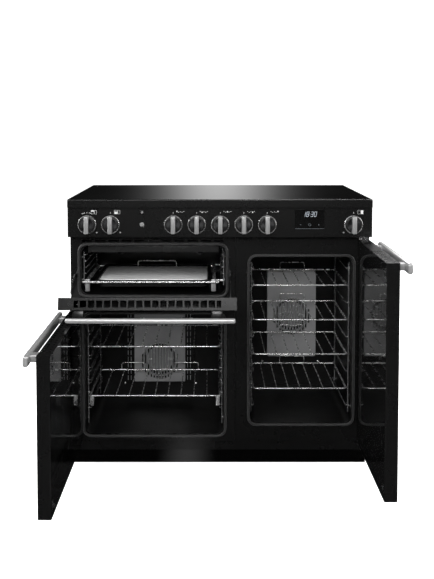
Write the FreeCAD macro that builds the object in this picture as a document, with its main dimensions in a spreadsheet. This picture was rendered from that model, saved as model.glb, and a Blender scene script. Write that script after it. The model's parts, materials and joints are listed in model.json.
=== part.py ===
import FreeCAD, Part
import os
import re
import Sketcher

# Range cooker, 100 cm wide, with a grill chamber over the main oven on the left and a tall fan oven
# on the right, under a glass hob.  Millimetres.  X to the viewer's right, Y to the wall, Z up.
# The origin is on the floor under the middle of the hob.  The three doors stand open.

vector = FreeCAD.Vector
os.makedirs("parts", exist_ok=True)
document = FreeCAD.newDocument("range_cooker")
sheet = document.addObject("Spreadsheet::Sheet", "Sizes")
known = []
nodes = {}


# ---- the sheet of sizes and the ways of writing with them ----

def declare(**values):
    for name, number in values.items():
        known.append(name)
        row = len(known)
        sheet.set(f"A{row}", name)
        sheet.set(f"B{row}", str(number))
        sheet.setAlias(f"B{row}", name)
    document.recompute()


def bind(text):
    return re.sub(r"[A-Za-z]\w*", lambda word: ("Sizes." if word[0] in known else "") + word[0], str(text))


def value(text):
    return float(sheet.evalExpression(bind(text)))


def place(item, x="0", y="0", z="0"):
    for axis, where in zip("xyz", (x, y, z)):
        item.setExpression(f"Placement.Base.{axis}", bind(where))
    return item


def bundle(name, *items):
    item = document.addObject("Part::Compound", name)
    item.Links = list(items)
    return item


def keep(node, *items):
    item = bundle(node + "_set", *items) if len(items) > 1 else items[0]
    item.Label = node
    nodes[node] = item
    return item


# ---- primitives ----

def box(name, x, y, z):
    item = document.addObject("Part::Box", name)
    for side, (low, high) in zip(("Length", "Width", "Height"), (x, y, z)):
        item.setExpression(side, bind(f"({high}) - ({low})"))
    return place(item, x[0], y[0], z[0])


def rod(name, radius, axis, at, length, sides=0):
    item = document.addObject("Part::Prism" if sides else "Part::Cylinder", name)
    if sides:
        item.Polygon = sides
    lie = {"x": (vector(0, 1, 0), 90), "y": (vector(1, 0, 0), -90), "z": (vector(0, 0, 1), 0)}[axis]
    item.Placement = FreeCAD.Placement(vector(), FreeCAD.Rotation(*lie))
    item.setExpression("Circumradius" if sides else "Radius", bind(radius))
    item.setExpression("Height", bind(length))
    return place(item, *at)


def join(name, *items):
    item = document.addObject("Part::MultiFuse", name)
    item.Shapes = list(items)
    return item


def cut(name, base, *tools):
    item = document.addObject("Part::Cut", name)
    item.Base = base
    item.Tool = tools[0] if len(tools) == 1 else join(name + "_tools", *tools)
    return item


# ---- bodies, sketches and features; a pad and a pocket both go along the sketch's normal:
# +Z from XY, +X from YZ and -Y, to the front, from XZ ----

def newBody(name, x="0", y="0", z="0"):
    return place(document.addObject("PartDesign::Body", name), x, y, z)


def datum(body, role):
    return next(item for item in body.Origin.OriginFeatures if item.Role == role)


def sketch(body, plane, lift="0"):
    item = body.newObject("Sketcher::SketchObject", f"{body.Name}_{plane}_sketch")
    item.AttachmentSupport = [(datum(body, plane + "_Plane"), "")]
    item.MapMode = "FlatFace"
    item.setExpression("AttachmentOffset.Base.z", bind(lift))
    return item


def fix(item, kind, *places, size):
    index = item.addConstraint(Sketcher.Constraint(kind, *places, value(size)))
    item.setExpression(f"Constraints[{index}]", bind(size))


def polygon(item, points):
    corners = [vector(value(x), value(y), 0) for x, y in points]
    first = item.GeometryCount
    count = len(points)
    for n in range(count):
        item.addGeometry(Part.LineSegment(corners[n], corners[(n + 1) % count]), False)
    for n in range(count):
        item.addConstraint(Sketcher.Constraint("Coincident", first + n, 2, first + (n + 1) % count, 1))
    for n, (x, y) in enumerate(points):
        fix(item, "DistanceX", -1, 1, first + n, 1, size=x)
        fix(item, "DistanceY", -1, 1, first + n, 1, size=y)
    return item


def rectangle(item, left, right, low, high):
    return polygon(item, [(left, low), (right, low), (right, high), (left, high)])


def rounded(item, left, right, low, high, radius):
    a, b, c, d, r = (value(size) for size in (left, right, low, high, radius))
    quarter = 1.5707963
    up = vector(0, 0, 1)
    first = item.GeometryCount
    for start, end, middle, turn in (
        ((a + r, c), (b - r, c), (b - r, c + r), -quarter),
        ((b, c + r), (b, d - r), (b - r, d - r), 0),
        ((b - r, d), (a + r, d), (a + r, d - r), quarter),
        ((a, d - r), (a, c + r), (a + r, c + r), 2 * quarter),
    ):
        item.addGeometry(Part.LineSegment(vector(*start, 0), vector(*end, 0)), False)
        arc = Part.Circle(vector(*middle, 0), up, r)
        item.addGeometry(Part.ArcOfCircle(arc, turn, turn + quarter), False)
    for n in range(8):
        item.addConstraint(Sketcher.Constraint("Tangent", first + n, 2, first + (n + 1) % 8, 1))
    for n, way in enumerate(("Horizontal", "Vertical", "Horizontal", "Vertical")):
        item.addConstraint(Sketcher.Constraint(way, first + 2 * n))
    for n in (3, 5, 7):
        item.addConstraint(Sketcher.Constraint("Equal", first + 1, first + n))
    fix(item, "Radius", first + 1, size=radius)
    fix(item, "DistanceX", -1, 1, first + 2, 1, size=right)
    fix(item, "DistanceX", -1, 1, first + 6, 1, size=left)
    fix(item, "DistanceY", -1, 1, first, 1, size=low)
    fix(item, "DistanceY", -1, 1, first + 4, 1, size=high)
    return item


def circle(item, x, y, radius):
    middle = vector(value(x), value(y), 0)
    index = item.addGeometry(Part.Circle(middle, vector(0, 0, 1), value(radius)), False)
    fix(item, "Radius", index, size=radius)
    fix(item, "DistanceX", -1, 1, index, 3, size=x)
    fix(item, "DistanceY", -1, 1, index, 3, size=y)
    return item


def feature(body, kind, profile, length):
    item = body.newObject("PartDesign::" + kind, f"{body.Name}_{kind}")
    item.Profile = profile
    item.setExpression("Length", bind(length))
    item.Reversed = kind == "Pocket"
    return item


def pad(body, profile, length):
    return feature(body, "Pad", profile, length)


def pocket(body, profile, length):
    return feature(body, "Pocket", profile, length)


def revolve(body, profile):
    item = body.newObject("PartDesign::Revolution", body.Name + "_turned")
    item.Profile = profile
    item.ReferenceAxis = (profile, ["V_Axis"])
    item.Angle = 360
    return item


def pattern(body, original, axis, span, count):
    item = body.newObject("PartDesign::LinearPattern", body.Name + "_row")
    item.Originals = [original]
    item.Direction = (datum(body, axis + "_Axis"), [""])
    item.setExpression("Length", bind(span))
    item.setExpression("Occurrences", bind(count))
    body.Tip = item
    return item


def ease(body, base, kind, size, chosen):
    document.recompute()
    names = [f"Edge{n}" for n, edge in enumerate(base.Shape.Edges, 1) if chosen(edge.BoundBox)]
    item = body.newObject("PartDesign::" + kind, f"{body.Name}_{kind}")
    item.Base = (base, names)
    item.setExpression("Radius" if kind == "Fillet" else "Size", bind(size))
    return item


near = 0.01


# ---- driving sizes of the whole cooker ----

declare(
    hobWide=1000, hobDeep=600, hobTop=905,
    bodyWide=994, rearSet=30, sheet15=1.5, sheet20=2,
    trimTall=27, trimRing=14, trimRim=6, trimEdge=3.5, trimCorner=8,
    glassThick=4, trayGap=4, trayTall=28,
    panelLow=780, panelSet=8, panelSide=2,
    doorThick=38, doorGap=9, splitAt=51.6, splitGap=0.4,
    fasciaLow=84, plinthTall=49, plinthSet=25, plinthSheet=16, plinthReturn=420,
    trayTop=84,
)

fasciaY = "(-hobDeep / 2 + doorThick + doorGap)"
behindY = f"({fasciaY} + sheet20)"
rearY = "(hobDeep / 2 - rearSet)"
sideX = "(bodyWide / 2)"
trimLow = "(hobTop - trimTall)"
pivotY = "(-hobDeep / 2 + doorThick / 2)"
panelY = "(-hobDeep / 2 + panelSet)"
panelDeep = f"({behindY} - {panelY})"


# ---- plinth, base, sides and back ----

def plinth():
    body = newBody("plinth")
    outer = f"({sideX} - sheet20)"
    start = f"({fasciaY} + plinthSet)"
    profile = sketch(body, "XY")
    polygon(profile, [
        (f"-{outer}", start), (outer, start), (outer, f"{start} + plinthReturn"),
        (f"{outer} - plinthSheet", f"{start} + plinthReturn"), (f"{outer} - plinthSheet", f"{start} + plinthSheet"),
        (f"-{outer} + plinthSheet", f"{start} + plinthSheet"), (f"-{outer} + plinthSheet", f"{start} + plinthReturn"),
        (f"-{outer}", f"{start} + plinthReturn"),
    ])
    pad(body, profile, "plinthTall")
    keep("plinth", body)


declare(footRadius=22, footThick=8, footStem=6, footInX=60, footInFront=70, footInRear=45)


def levellingFeet():
    feet = []
    for across in ("-", ""):
        for row, y in enumerate((f"{fasciaY} + footInFront", f"{rearY} - footInRear")):
            x = f"{across}({sideX} - footInX)"
            name = f"foot_{'left' if across else 'right'}_{row}"
            disc = rod(name + "_disc", "footRadius", "z", (x, y, "0"), "footThick")
            stem = rod(name + "_stem", "footStem", "z", (x, y, "0"), "plinthTall")
            feet.append(join(name, disc, stem))
    keep("levelling_feet", *feet)


declare(trayWall=2, trayNose=12)


def baseTray():
    body = newBody("base_tray", z="plinthTall")
    wide = f"({sideX} - sheet20)"
    outer = sketch(body, "XY")
    rear = f"({rearY} - sheet20 * 2)"
    rectangle(outer, f"-{wide}", wide, f"{fasciaY} + trayNose", rear)
    pad(body, outer, "trayTop - plinthTall")
    inner = sketch(body, "XY", "trayWall")
    rectangle(inner, f"-{wide} + trayWall", f"{wide} - trayWall",
              f"{fasciaY} + trayNose + trayWall", f"{rear} - trayWall")
    pocket(body, inner, "trayTop - plinthTall - trayWall")
    keep("base_tray", body)


declare(sideFlange=14, ventWide=60, ventTall=5, ventPitch=11, ventRows=6, slotEase=0.1)


def sidePanels():
    panels = []
    for name, hand in (("left_side", "-"), ("right_side", "")):
        body = newBody(name, z="plinthTall")
        out, inn, lip = f"{hand}{sideX}", f"{hand}({sideX} - sheet20)", f"{hand}({sideX} - sideFlange)"
        front, back = behindY, rearY
        profile = sketch(body, "XY")
        polygon(profile, [
            (out, front), (lip, front), (lip, f"{front} + sheet20"), (inn, f"{front} + sheet20"),
            (inn, f"{back} - sheet20"), (lip, f"{back} - sheet20"), (lip, back), (out, back),
        ])
        pad(body, profile, f"{trimLow} - plinthTall")
        panels.append(body)
    keep("side_panels", *panels)


def backPanel():
    body = newBody("back_panel", y=f"{rearY} - sheet20", z="plinthTall")
    plate = sketch(body, "XZ")
    wide = f"({sideX} - sheet20)"
    rectangle(plate, f"-{wide}", wide, "0", f"{trimLow} - plinthTall")
    pad(body, plate, "sheet20")
    for side in ("-", ""):
        slot = sketch(body, "XZ")
        middle = f"{side}({sideX} / 2)"
        rounded(slot, f"{middle} - ventWide / 2", f"{middle} + ventWide / 2",
                f"{trimLow} - plinthTall - ventPitch * ventRows - ventTall",
                f"{trimLow} - plinthTall - ventPitch * ventRows", "ventTall / 2 - slotEase")
        first = pocket(body, slot, "sheet20")
        pattern(body, first, "Z", "ventPitch * (ventRows - 1)", "ventRows")
    keep("back_panel", body)


# ---- hob ----

def hobTrim():
    body = newBody("hob_trim", z=trimLow)
    half, deep = "(hobWide / 2)", "(hobDeep / 2)"
    outer = sketch(body, "XY")
    rounded(outer, f"-{half}", half, f"-{deep}", deep, "trimCorner")
    block = pad(body, outer, "trimTall")
    top = value("trimTall")
    ease(body, block, "Fillet", "trimEdge", lambda b: b.ZMin > top - near)
    well = sketch(body, "XY")
    rounded(well, f"-{half} + trimRing", f"{half} - trimRing", f"-{deep} + trimRing", f"{deep} - trimRing",
            "trimCorner / 2")
    pocket(body, well, "trimTall")
    seat = sketch(body, "XY", "trimTall - glassThick")
    rounded(seat, f"-{half} + trimRim", f"{half} - trimRim", f"-{deep} + trimRim", f"{deep} - trimRim",
            "trimCorner / 2")
    pocket(body, seat, "glassThick")
    keep("hob_trim", body)


def hobGlass():
    body = newBody("hob_glass", z="hobTop - glassThick")
    outline = sketch(body, "XY")
    rounded(outline, "-hobWide / 2 + trimRim", "hobWide / 2 - trimRim", "-hobDeep / 2 + trimRim",
            "hobDeep / 2 - trimRim", "trimCorner / 2")
    pad(body, outline, "glassThick")
    keep("hob_glass", body)


def hobTray():
    body = newBody("hob_tray", z="hobTop - glassThick - trayTall")
    edges = ["-hobWide / 2 + trimRing + trayGap", "hobWide / 2 - trimRing - trayGap",
             f"{behindY} + trayGap", f"{rearY} - sheet20 * 2 - trayGap"]
    outer = sketch(body, "XY")
    rounded(outer, *edges, "trimCorner")
    pad(body, outer, "trayTall")
    inner = sketch(body, "XY", "sheet20")
    rounded(inner, f"{edges[0]} + sheet20", f"{edges[1]} - sheet20", f"{edges[2]} + sheet20",
            f"{edges[3]} - sheet20", "trimCorner - sheet20")
    pocket(body, inner, "trayTall - sheet20")
    keep("hob_tray", body)


declare(zoneSmall=75, zoneLarge=90, zoneMiddle=115, zoneOut=335, zoneRear=128, zoneFront=-98, zoneMiddleY=20)
zones = {
    "rear_left": ("-zoneOut", "zoneRear", "zoneLarge"),
    "front_left": ("-zoneOut", "zoneFront", "zoneSmall"),
    "middle": ("0", "zoneMiddleY", "zoneMiddle"),
    "rear_right": ("zoneOut", "zoneRear", "zoneSmall"),
    "front_right": ("zoneOut", "zoneFront", "zoneLarge"),
}


def hobElements():
    low = "hobTop - glassThick - trayTall + sheet20"
    keep("hob_elements", *[
        rod("zone_" + name, radius, "z", (x, y, low), "trayTall - sheet20")
        for name, (x, y, radius) in zones.items()
    ])


# ---- control panel, knobs and switches ----

declare(
    knobZ=821.5, knobRadius=27, knobFace=25.4, knobSkirt=8, knobShoulder=2, knobGap=0.8,
    gripWide=12, gripLong=50, gripProud=17, shaftRadius=3, shaftIn=24, shaftPlay=0.05, shaftHole=5,
    bezelOut=30, bezelPlay=0.6, bezelProud=5,
    grillKnobX=-435.5, lowerKnobX=-358.8, zoneKnobX=1, zoneKnobPitch=77, tallKnobX=437.5,
    switchWide=34, switchDeep=30,
    buttonX=-255, buttonRadius=5.7, buttonProud=3, buttonIn=8, buttonTravel=2, buttonPlay=0.3,
    displayX=294, displayZ=838.5, displayWide=98, displayTall=63, displayLip=4, displayProud=0.5,
    lampRadius=2.5, lampAside=32, lampDown=26, lampPlay=0.3, lampProud=1.2,
)
knobs = {"knob_grill": "grillKnobX", "knob_main_oven": "lowerKnobX"}
for count, name in enumerate(("knob_zone_1", "knob_zone_2", "knob_zone_3", "knob_zone_4", "knob_zone_5")):
    knobs[name] = f"(zoneKnobX + zoneKnobPitch * {count - 2})"
knobs["knob_tall_oven"] = "tallKnobX"
lamps = {"grill": "grillKnobX + lampAside", "main_oven": "lowerKnobX + lampAside", "tall_oven": "tallKnobX - lampAside"}


def controlPanel():
    body = newBody("control_panel", y=panelY)
    wide = f"(({sideX} + panelSide - sheet15) * 2)"
    low, high = "panelLow", trimLow
    channel = sketch(body, "YZ", f"-{wide} / 2")
    polygon(channel, [
        ("0", low), (panelDeep, low), (panelDeep, f"{low} + sheet15"), ("sheet15", f"{low} + sheet15"),
        ("sheet15", f"{high} - sheet15"), (panelDeep, f"{high} - sheet15"), (panelDeep, high), ("0", high),
    ])
    pad(body, channel, wide)
    for lift in (f"-{wide} / 2 - sheet15", f"{wide} / 2"):
        cheek = sketch(body, "YZ", lift)
        rectangle(cheek, "0", panelDeep, low, high)
        pad(body, cheek, "sheet15")
    holes = sketch(body, "XZ", "-sheet15")
    for x in knobs.values():
        circle(holes, x, "knobZ", "shaftHole")
    for x in lamps.values():
        circle(holes, x, "knobZ - lampDown", "lampRadius + lampPlay")
    circle(holes, "buttonX", "knobZ", "buttonRadius + buttonPlay")
    rectangle(holes, "displayX - displayWide / 2", "displayX + displayWide / 2",
              "displayZ - displayTall / 2", "displayZ + displayTall / 2")
    pocket(body, holes, "sheet15")
    keep("control_panel", body)


def displayGlass():
    def span(middle, size, grow):
        return f"{middle} - {size} / 2 - ({grow})", f"{middle} + {size} / 2 + ({grow})"

    pane = box("display_pane", span("displayX", "displayWide", "-lampPlay"),
               (f"{panelY} - displayProud", f"{panelY} + sheet15"), span("displayZ", "displayTall", "-lampPlay"))
    flange = box("display_flange", span("displayX", "displayWide", "displayLip"),
                 (f"{panelY} + sheet15", f"{panelY} + sheet15 * 2"), span("displayZ", "displayTall", "displayLip"))
    keep("display_glass", join("display", pane, flange))


def indicatorLamps():
    made = []
    for name, x in lamps.items():
        lens = rod(f"lamp_{name}_lens", "lampRadius", "y", (x, f"{panelY} - lampProud", "knobZ - lampDown"),
                   "lampProud + sheet15")
        collar = rod(f"lamp_{name}_collar", "lampRadius * 2", "y", (x, f"{panelY} + sheet15", "knobZ - lampDown"),
                     "lampRadius")
        made.append(join("lamp_" + name, lens, collar))
    keep("indicator_lamps", *made)


def rotarySwitches():
    made = []
    back = f"{panelY} + sheet15"
    for name, x in knobs.items():
        case = box(name + "_switch_case", (f"{x} - switchWide / 2", f"{x} + switchWide / 2"),
                   (back, f"{back} + switchDeep"), ("knobZ - switchWide / 2", "knobZ + switchWide / 2"))
        bore = rod(name + "_switch_bore", "shaftRadius + shaftPlay", "y", (x, back, "knobZ"), "shaftIn")
        made.append(cut(name + "_switch", case, bore))
    deep = "(buttonIn + buttonTravel * 2)"
    case = box("button_switch_case", ("buttonX - switchWide / 3", "buttonX + switchWide / 3"),
               (back, f"{back} + switchDeep"), ("knobZ - switchWide / 3", "knobZ + switchWide / 3"))
    bore = rod("button_switch_bore", "buttonRadius + buttonPlay", "y", ("buttonX", back, "knobZ"), deep)
    made.append(cut("button_switch", case, bore))
    keep("rotary_switches", *made)


def bezel(name, x, outer, inner):
    ring = rod(name + "_ring", outer, "y", (x, f"{panelY} - bezelProud", "knobZ"), "bezelProud")
    hole = rod(name + "_hole", inner, "y", (x, f"{panelY} - bezelProud", "knobZ"), "bezelProud")
    return cut(name + "_bezel", ring, hole)


def knobBezels():
    rings = [bezel(name, x, "bezelOut", "knobRadius + bezelPlay") for name, x in knobs.items()]
    rings.append(bezel("button", "buttonX", "buttonRadius + buttonPlay * 2 + sheet15", "buttonRadius + buttonPlay"))
    keep("knob_bezels", *rings)


def knob(name, x):
    body = newBody(name, x, panelY, "knobZ")
    profile = sketch(body, "XY")
    front = "knobGap + knobSkirt + knobShoulder"
    polygon(profile, [
        ("0", "shaftIn"), ("shaftRadius", "shaftIn"), ("shaftRadius", "-knobGap"), ("knobRadius", "-knobGap"),
        ("knobRadius", "-(knobGap + knobSkirt)"), ("knobFace", f"-({front})"), ("0", f"-({front})"),
    ])
    revolve(body, profile)
    grip = sketch(body, "XZ", f"{front}")
    rounded(grip, "-gripWide / 2", "gripWide / 2", "-gripLong / 2", "gripLong / 2", "gripWide / 4")
    bar = pad(body, grip, "gripProud")
    ends = value(f"-({front} + gripProud)")
    ease(body, bar, "Chamfer", "gripWide / 10", lambda b: b.YMax < ends + near)
    keep(name, body)


def lightButton():
    cap = rod("button_cap", "buttonRadius", "y", ("buttonX", f"{panelY} - buttonProud", "knobZ"),
              "buttonProud + sheet15 + buttonIn")
    keep("light_button", cap)


# ---- cavities, fascias and seals ----

declare(
    mainLeft=-451, mainRight=13, mainLow=108.5, mainHigh=515, mainCorner=26,
    grillLeft=-463, grillRight=19, grillLow=582, grillHigh=746, grillCorner=28,
    tallLeft=102, tallRight=442, tallLow=147, tallHigh=708, tallCorner=24,
    ovenDeep=400, ovenWall=2, rimWide=11,
    sealWide=9, sealOut=0.5, sealPlay=0.6, sealEase=2.4,
    stayRadius=96, stayWide=10, stayThick=3, stayPlay=1.5, stayLeft=-478.5, stayRight=33.5,
    breatherWide=34, breatherTall=5, breatherZ=762, breatherPitch=44, breatherCount=11,
)
cavities = {
    "grill": ["grillLeft", "grillRight", "grillLow", "grillHigh", "grillCorner"],
    "main": ["mainLeft", "mainRight", "mainLow", "mainHigh", "mainCorner"],
    "tall": ["tallLeft", "tallRight", "tallLow", "tallHigh", "tallCorner"],
}


def grown(edges, amount):
    left, right, low, high, corner = edges
    return [f"{left} - ({amount})", f"{right} + ({amount})", f"{low} - ({amount})", f"{high} + ({amount})",
            f"{corner} + ({amount})"]


declare(mainDoorLow=87, mainDoorTall=446, grillDoorLow=536, grillDoorTall=230, tallDoorTall=679,
        leftDoorWide=547, rightDoorWide=443.8)
grillPivotZ = "(grillDoorLow + doorThick / 2)"
stayRun = f"({fasciaY} - {pivotY})"
stayTop = f"{grillPivotZ} + sqrt(pow(stayRadius + stayWide / 2; 2) - pow({stayRun}; 2)) + stayPlay"
stayFoot = f"{grillPivotZ} + sqrt(pow(stayRadius - stayWide / 2; 2) - pow({stayRun} + sheet20; 2)) - stayPlay"


def fascias():
    for name, left, right, held in (
        ("left_fascia", f"-{sideX}", "splitAt - splitGap", ("grill", "main")),
        ("right_fascia", "splitAt + splitGap", sideX, ("tall",)),
    ):
        body = newBody(name, y=behindY)
        plate = sketch(body, "XZ")
        rectangle(plate, left, right, "fasciaLow", "panelLow")
        for cavity in held:
            rounded(plate, *cavities[cavity])
        if "grill" in held:
            for stay in ("stayLeft", "stayRight"):
                rectangle(plate, f"{stay} - stayThick / 2 - stayPlay", f"{stay} + stayThick / 2 + stayPlay",
                          stayFoot, stayTop)
        pad(body, plate, "sheet20")
        if "grill" in held:
            slot = sketch(body, "XZ")
            middle = "((grillLeft + grillRight) / 2 - breatherPitch * (breatherCount - 1) / 2)"
            rounded(slot, f"{middle} - breatherWide / 2", f"{middle} + breatherWide / 2",
                    "breatherZ - breatherTall / 2", "breatherZ + breatherTall / 2", "breatherTall / 2 - slotEase")
            first = pocket(body, slot, "sheet20")
            pattern(body, first, "X", "breatherPitch * (breatherCount - 1)", "breatherCount")
        keep(name, body)


declare(fanMainX=-223, fanMainZ=251, fanTallX=275.5, fanTallZ=423, fanShaft=4, fanHole=6,
        baffleSet=30, baffleTall=20)
fans = {"main": ("fanMainX", "fanMainZ"), "tall": ("fanTallX", "fanTallZ")}
cavityBack = f"({behindY} + ovenDeep - ovenWall)"


def cavity(which):
    edges = cavities[which]
    body = newBody(which + "_cavity", y=behindY)
    shell = sketch(body, "XZ", "-ovenDeep")
    rounded(shell, *grown(edges, "ovenWall"))
    pad(body, shell, "ovenDeep")
    rim = sketch(body, "XZ", "-ovenWall")
    rounded(rim, *grown(edges, "rimWide"))
    pad(body, rim, "ovenWall")
    room = sketch(body, "XZ", "-(ovenDeep - ovenWall)")
    rounded(room, *edges)
    pocket(body, room, "ovenDeep - ovenWall")
    if which in fans:
        hole = sketch(body, "XZ", "-ovenDeep")
        circle(hole, *fans[which], "fanHole")
        pocket(body, hole, "ovenWall")
    else:
        baffle = sketch(body, "XZ", "-(baffleSet + ovenWall)")
        rectangle(baffle, f"{edges[0]} + {edges[4]}", f"{edges[1]} - {edges[4]}", f"{edges[3]} - baffleTall",
                  f"{edges[3]} + ovenWall / 2")
        pad(body, baffle, "ovenWall")
    keep(which + "_cavity", body)


def doorSeals():
    made = []
    for which, edges in cavities.items():
        body = newBody(which + "_seal", y=fasciaY)
        ring = sketch(body, "XZ")
        rounded(ring, *grown(edges, "sealOut + sealWide"))
        rounded(ring, *grown(edges, "sealOut"))
        thick = pad(body, ring, "doorGap - sealPlay")
        front = value("-(doorGap - sealPlay)")
        ease(body, thick, "Chamfer", "sealEase", lambda b: b.YMax < front + near)
        made.append(body)
    keep("door_seals", *made)


# ---- inside the ovens ----

declare(
    coverDeep=42, mainCoverWide=236, mainCoverLow=172, mainCoverHigh=500, tallCoverWide=183, tallCoverLow=269,
    tallCoverHigh=597, coverCorner=8, ventRound=70, ventSlot=5.5, ventStep=10.8, ventCount=13,
    strayWide=10, strayTall=16, strayPitch=26, strayCount=8, strayIn=13,
    motorRadius=34, motorLong=52, motorBoreIn=30,
    fanRadius=50, fanDeep=18, fanSheet=1.5, fanHub=9, fanBack=12, bladeIn=26, bladeCount=8,
    ringRadius=64, ringWire=3.5, ringSet=16, ringTail=14,
    grillLampX=151, grillLampZ=706, lensRadius=22, lensNose=17, lensDeep=12,
    elementWire=3.5, elementDrop=24, elementPitch=46, elementCount=7, elementIn=34, elementOut=52,
)
covers = {
    "main": ("mainCoverWide", "mainCoverLow", "mainCoverHigh"),
    "tall": ("tallCoverWide", "tallCoverLow", "tallCoverHigh"),
}


def fanCover(which):
    x, z = fans[which]
    wide, low, high = covers[which]
    body = newBody(which + "_fan_cover", x, cavityBack, "0")
    outer = sketch(body, "XZ")
    rounded(outer, f"-{wide} / 2", f"{wide} / 2", low, high, "coverCorner")
    pad(body, outer, "coverDeep")
    inner = sketch(body, "XZ")
    rounded(inner, f"-{wide} / 2 + sheet15", f"{wide} / 2 - sheet15", f"{low} + sheet15", f"{high} - sheet15",
            "coverCorner - sheet15")
    pocket(body, inner, "coverDeep - sheet15")
    slots = sketch(body, "XZ", "coverDeep - sheet15")
    half = (int(value("ventCount")) - 1) // 2
    for n in range(-half, half + 1):
        middle = f"(ventStep * {n})"
        reach = f"sqrt(pow(ventRound; 2) - pow({middle}; 2))"
        rectangle(slots, f"{middle} - ventSlot / 2", f"{middle} + ventSlot / 2", f"{z} - {reach}", f"{z} + {reach}")
    pocket(body, slots, "sheet15")
    if which == "main":
        for hand in ("-", ""):
            slot = sketch(body, "XZ", "coverDeep - sheet15")
            middle = f"{hand}({wide} / 2 - strayIn)"
            rectangle(slot, f"{middle} - strayWide / 2", f"{middle} + strayWide / 2",
                      f"{high} - strayPitch * strayCount", f"{high} - strayPitch * strayCount + strayTall")
            first = pocket(body, slot, "sheet15")
            pattern(body, first, "Z", "strayPitch * (strayCount - 1)", "strayCount")
    return body


def fanMotor(which):
    x, z = fans[which]
    start = f"{cavityBack} + ovenWall"
    case = rod(which + "_motor_case", "motorRadius", "y", (x, start, z), "motorLong")
    bore = rod(which + "_motor_bore", "fanShaft + shaftPlay", "y", (x, start, z), "motorBoreIn")
    return cut(which + "_motor", case, bore)


def fan(which):
    x, z = fans[which]
    body = newBody(which + "_fan", x, cavityBack, z)
    profile = sketch(body, "XY")
    polygon(profile, [
        ("0", "ovenWall + motorBoreIn - shaftPlay * 10"), ("fanShaft", "ovenWall + motorBoreIn - shaftPlay * 10"),
        ("fanShaft", "-(fanBack - fanSheet)"), ("fanRadius", "-(fanBack - fanSheet)"),
        ("fanRadius", "-fanBack"), ("fanHub", "-fanBack"), ("fanHub", "-(fanBack + fanDeep)"),
        ("0", "-(fanBack + fanDeep)"),
    ])
    revolve(body, profile)
    blade = sketch(body, "XZ", "fanBack")
    rectangle(blade, "bladeIn", "fanRadius - fanSheet", "-fanSheet / 2", "fanSheet / 2")
    first = pad(body, blade, "fanDeep")
    ring = body.newObject("PartDesign::PolarPattern", body.Name + "_blades")
    ring.Originals = [first]
    ring.Axis = (datum(body, "Y_Axis"), [""])
    ring.Angle = 360
    ring.setExpression("Occurrences", bind("bladeCount"))
    body.Tip = ring
    keep(which + "_fan", body)


def ringElement(which):
    x, z = fans[which]
    body = newBody(which + "_ring", x, cavityBack, z)
    profile = sketch(body, "XY")
    polygon(profile, [
        (f"ringRadius + ringWire * cos({turn} deg)", f"-ringSet + ringWire * sin({turn} deg)")
        for turn in range(0, 360, 60)
    ])
    revolve(body, profile)
    tails = sketch(body, "XZ")
    rise = "sqrt(pow(ringRadius; 2) - pow(ringTail; 2))"
    for hand in ("-", ""):
        middle = f"{hand}ringTail"
        rectangle(tails, f"{middle} - ringWire / 2", f"{middle} + ringWire / 2", f"{rise} - ringWire / 2",
                  f"{rise} + ringWire / 2")
    pad(body, tails, "ringSet")
    return body


def lampLenses():
    made = []
    for name, hand in (("left", "-"), ("right", "+")):
        item = document.addObject("Part::Cone", "grill_lamp_" + name)
        item.Placement = FreeCAD.Placement(vector(), FreeCAD.Rotation(vector(1, 0, 0), 90))
        item.setExpression("Radius1", bind("lensRadius"))
        item.setExpression("Radius2", bind("lensNose"))
        item.setExpression("Height", bind("lensDeep"))
        made.append(place(item, f"(grillLeft + grillRight) / 2 {hand} grillLampX", cavityBack, "grillLampZ"))
    keep("lamp_lenses", *made)


def grillElement():
    pieces = []
    z = "(grillHigh - elementDrop)"
    left, right = "(grillLeft + elementIn)", "(grillRight - elementIn)"
    start = f"({behindY} + elementOut)"
    count = int(value("elementCount"))
    for n in range(count):
        y = f"({start} + elementPitch * {n})"
        pieces.append(rod(f"element_run_{n}", "elementWire", "x", (left, y, z), f"{right} - {left}", 8))
        if n < count - 1:
            x = right if n % 2 == 0 else left
            pieces.append(rod(f"element_turn_{n}", "elementWire", "y", (x, f"{y} - elementWire", z),
                              "elementPitch + elementWire * 2", 8))
    last = f"({start} + elementPitch * {count - 1})"
    for hand, x in (("left", left), ("right", right)):
        pieces.append(rod(f"element_tail_{hand}", "elementWire", "y", (x, last if hand == "right" else start, z),
                          f"{cavityBack} - {last if hand == 'right' else start}", 8))
    keep("grill_element", join("element", *pieces))


declare(
    wireThick=3, wireThin=2.1, ladderIn=5, shelfIn=13, ladderFront=36, ladderLong=300, ladderEnd=22, restPlay=0.3,
    mainRungPitch=84, mainRungCount=5, tallRungCount=9, guardUp=34, grillRungPitch=21, grillRungCount=6,
)
declare(
    mainShelfUpper=401, mainShelfLower=233, mainShelfBars=9, mainBarPitch=47.7,
    tallShelfLowest=258, tallShelfPitch=117.3, tallShelfBars=7, tallBarPitch=44,
    shelfDeep=290, shelfFront=14, stopWide=90, stopTall=27, stopApart=196,
    runnerPlateTall=33, runnerPlateWide=13, runnerPlateThick=2,
)


mainShelfWide = "(mainRight - mainLeft - shelfIn * 2)"
tallShelfWide = "(tallRight - tallLeft - shelfIn * 2)"


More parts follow.
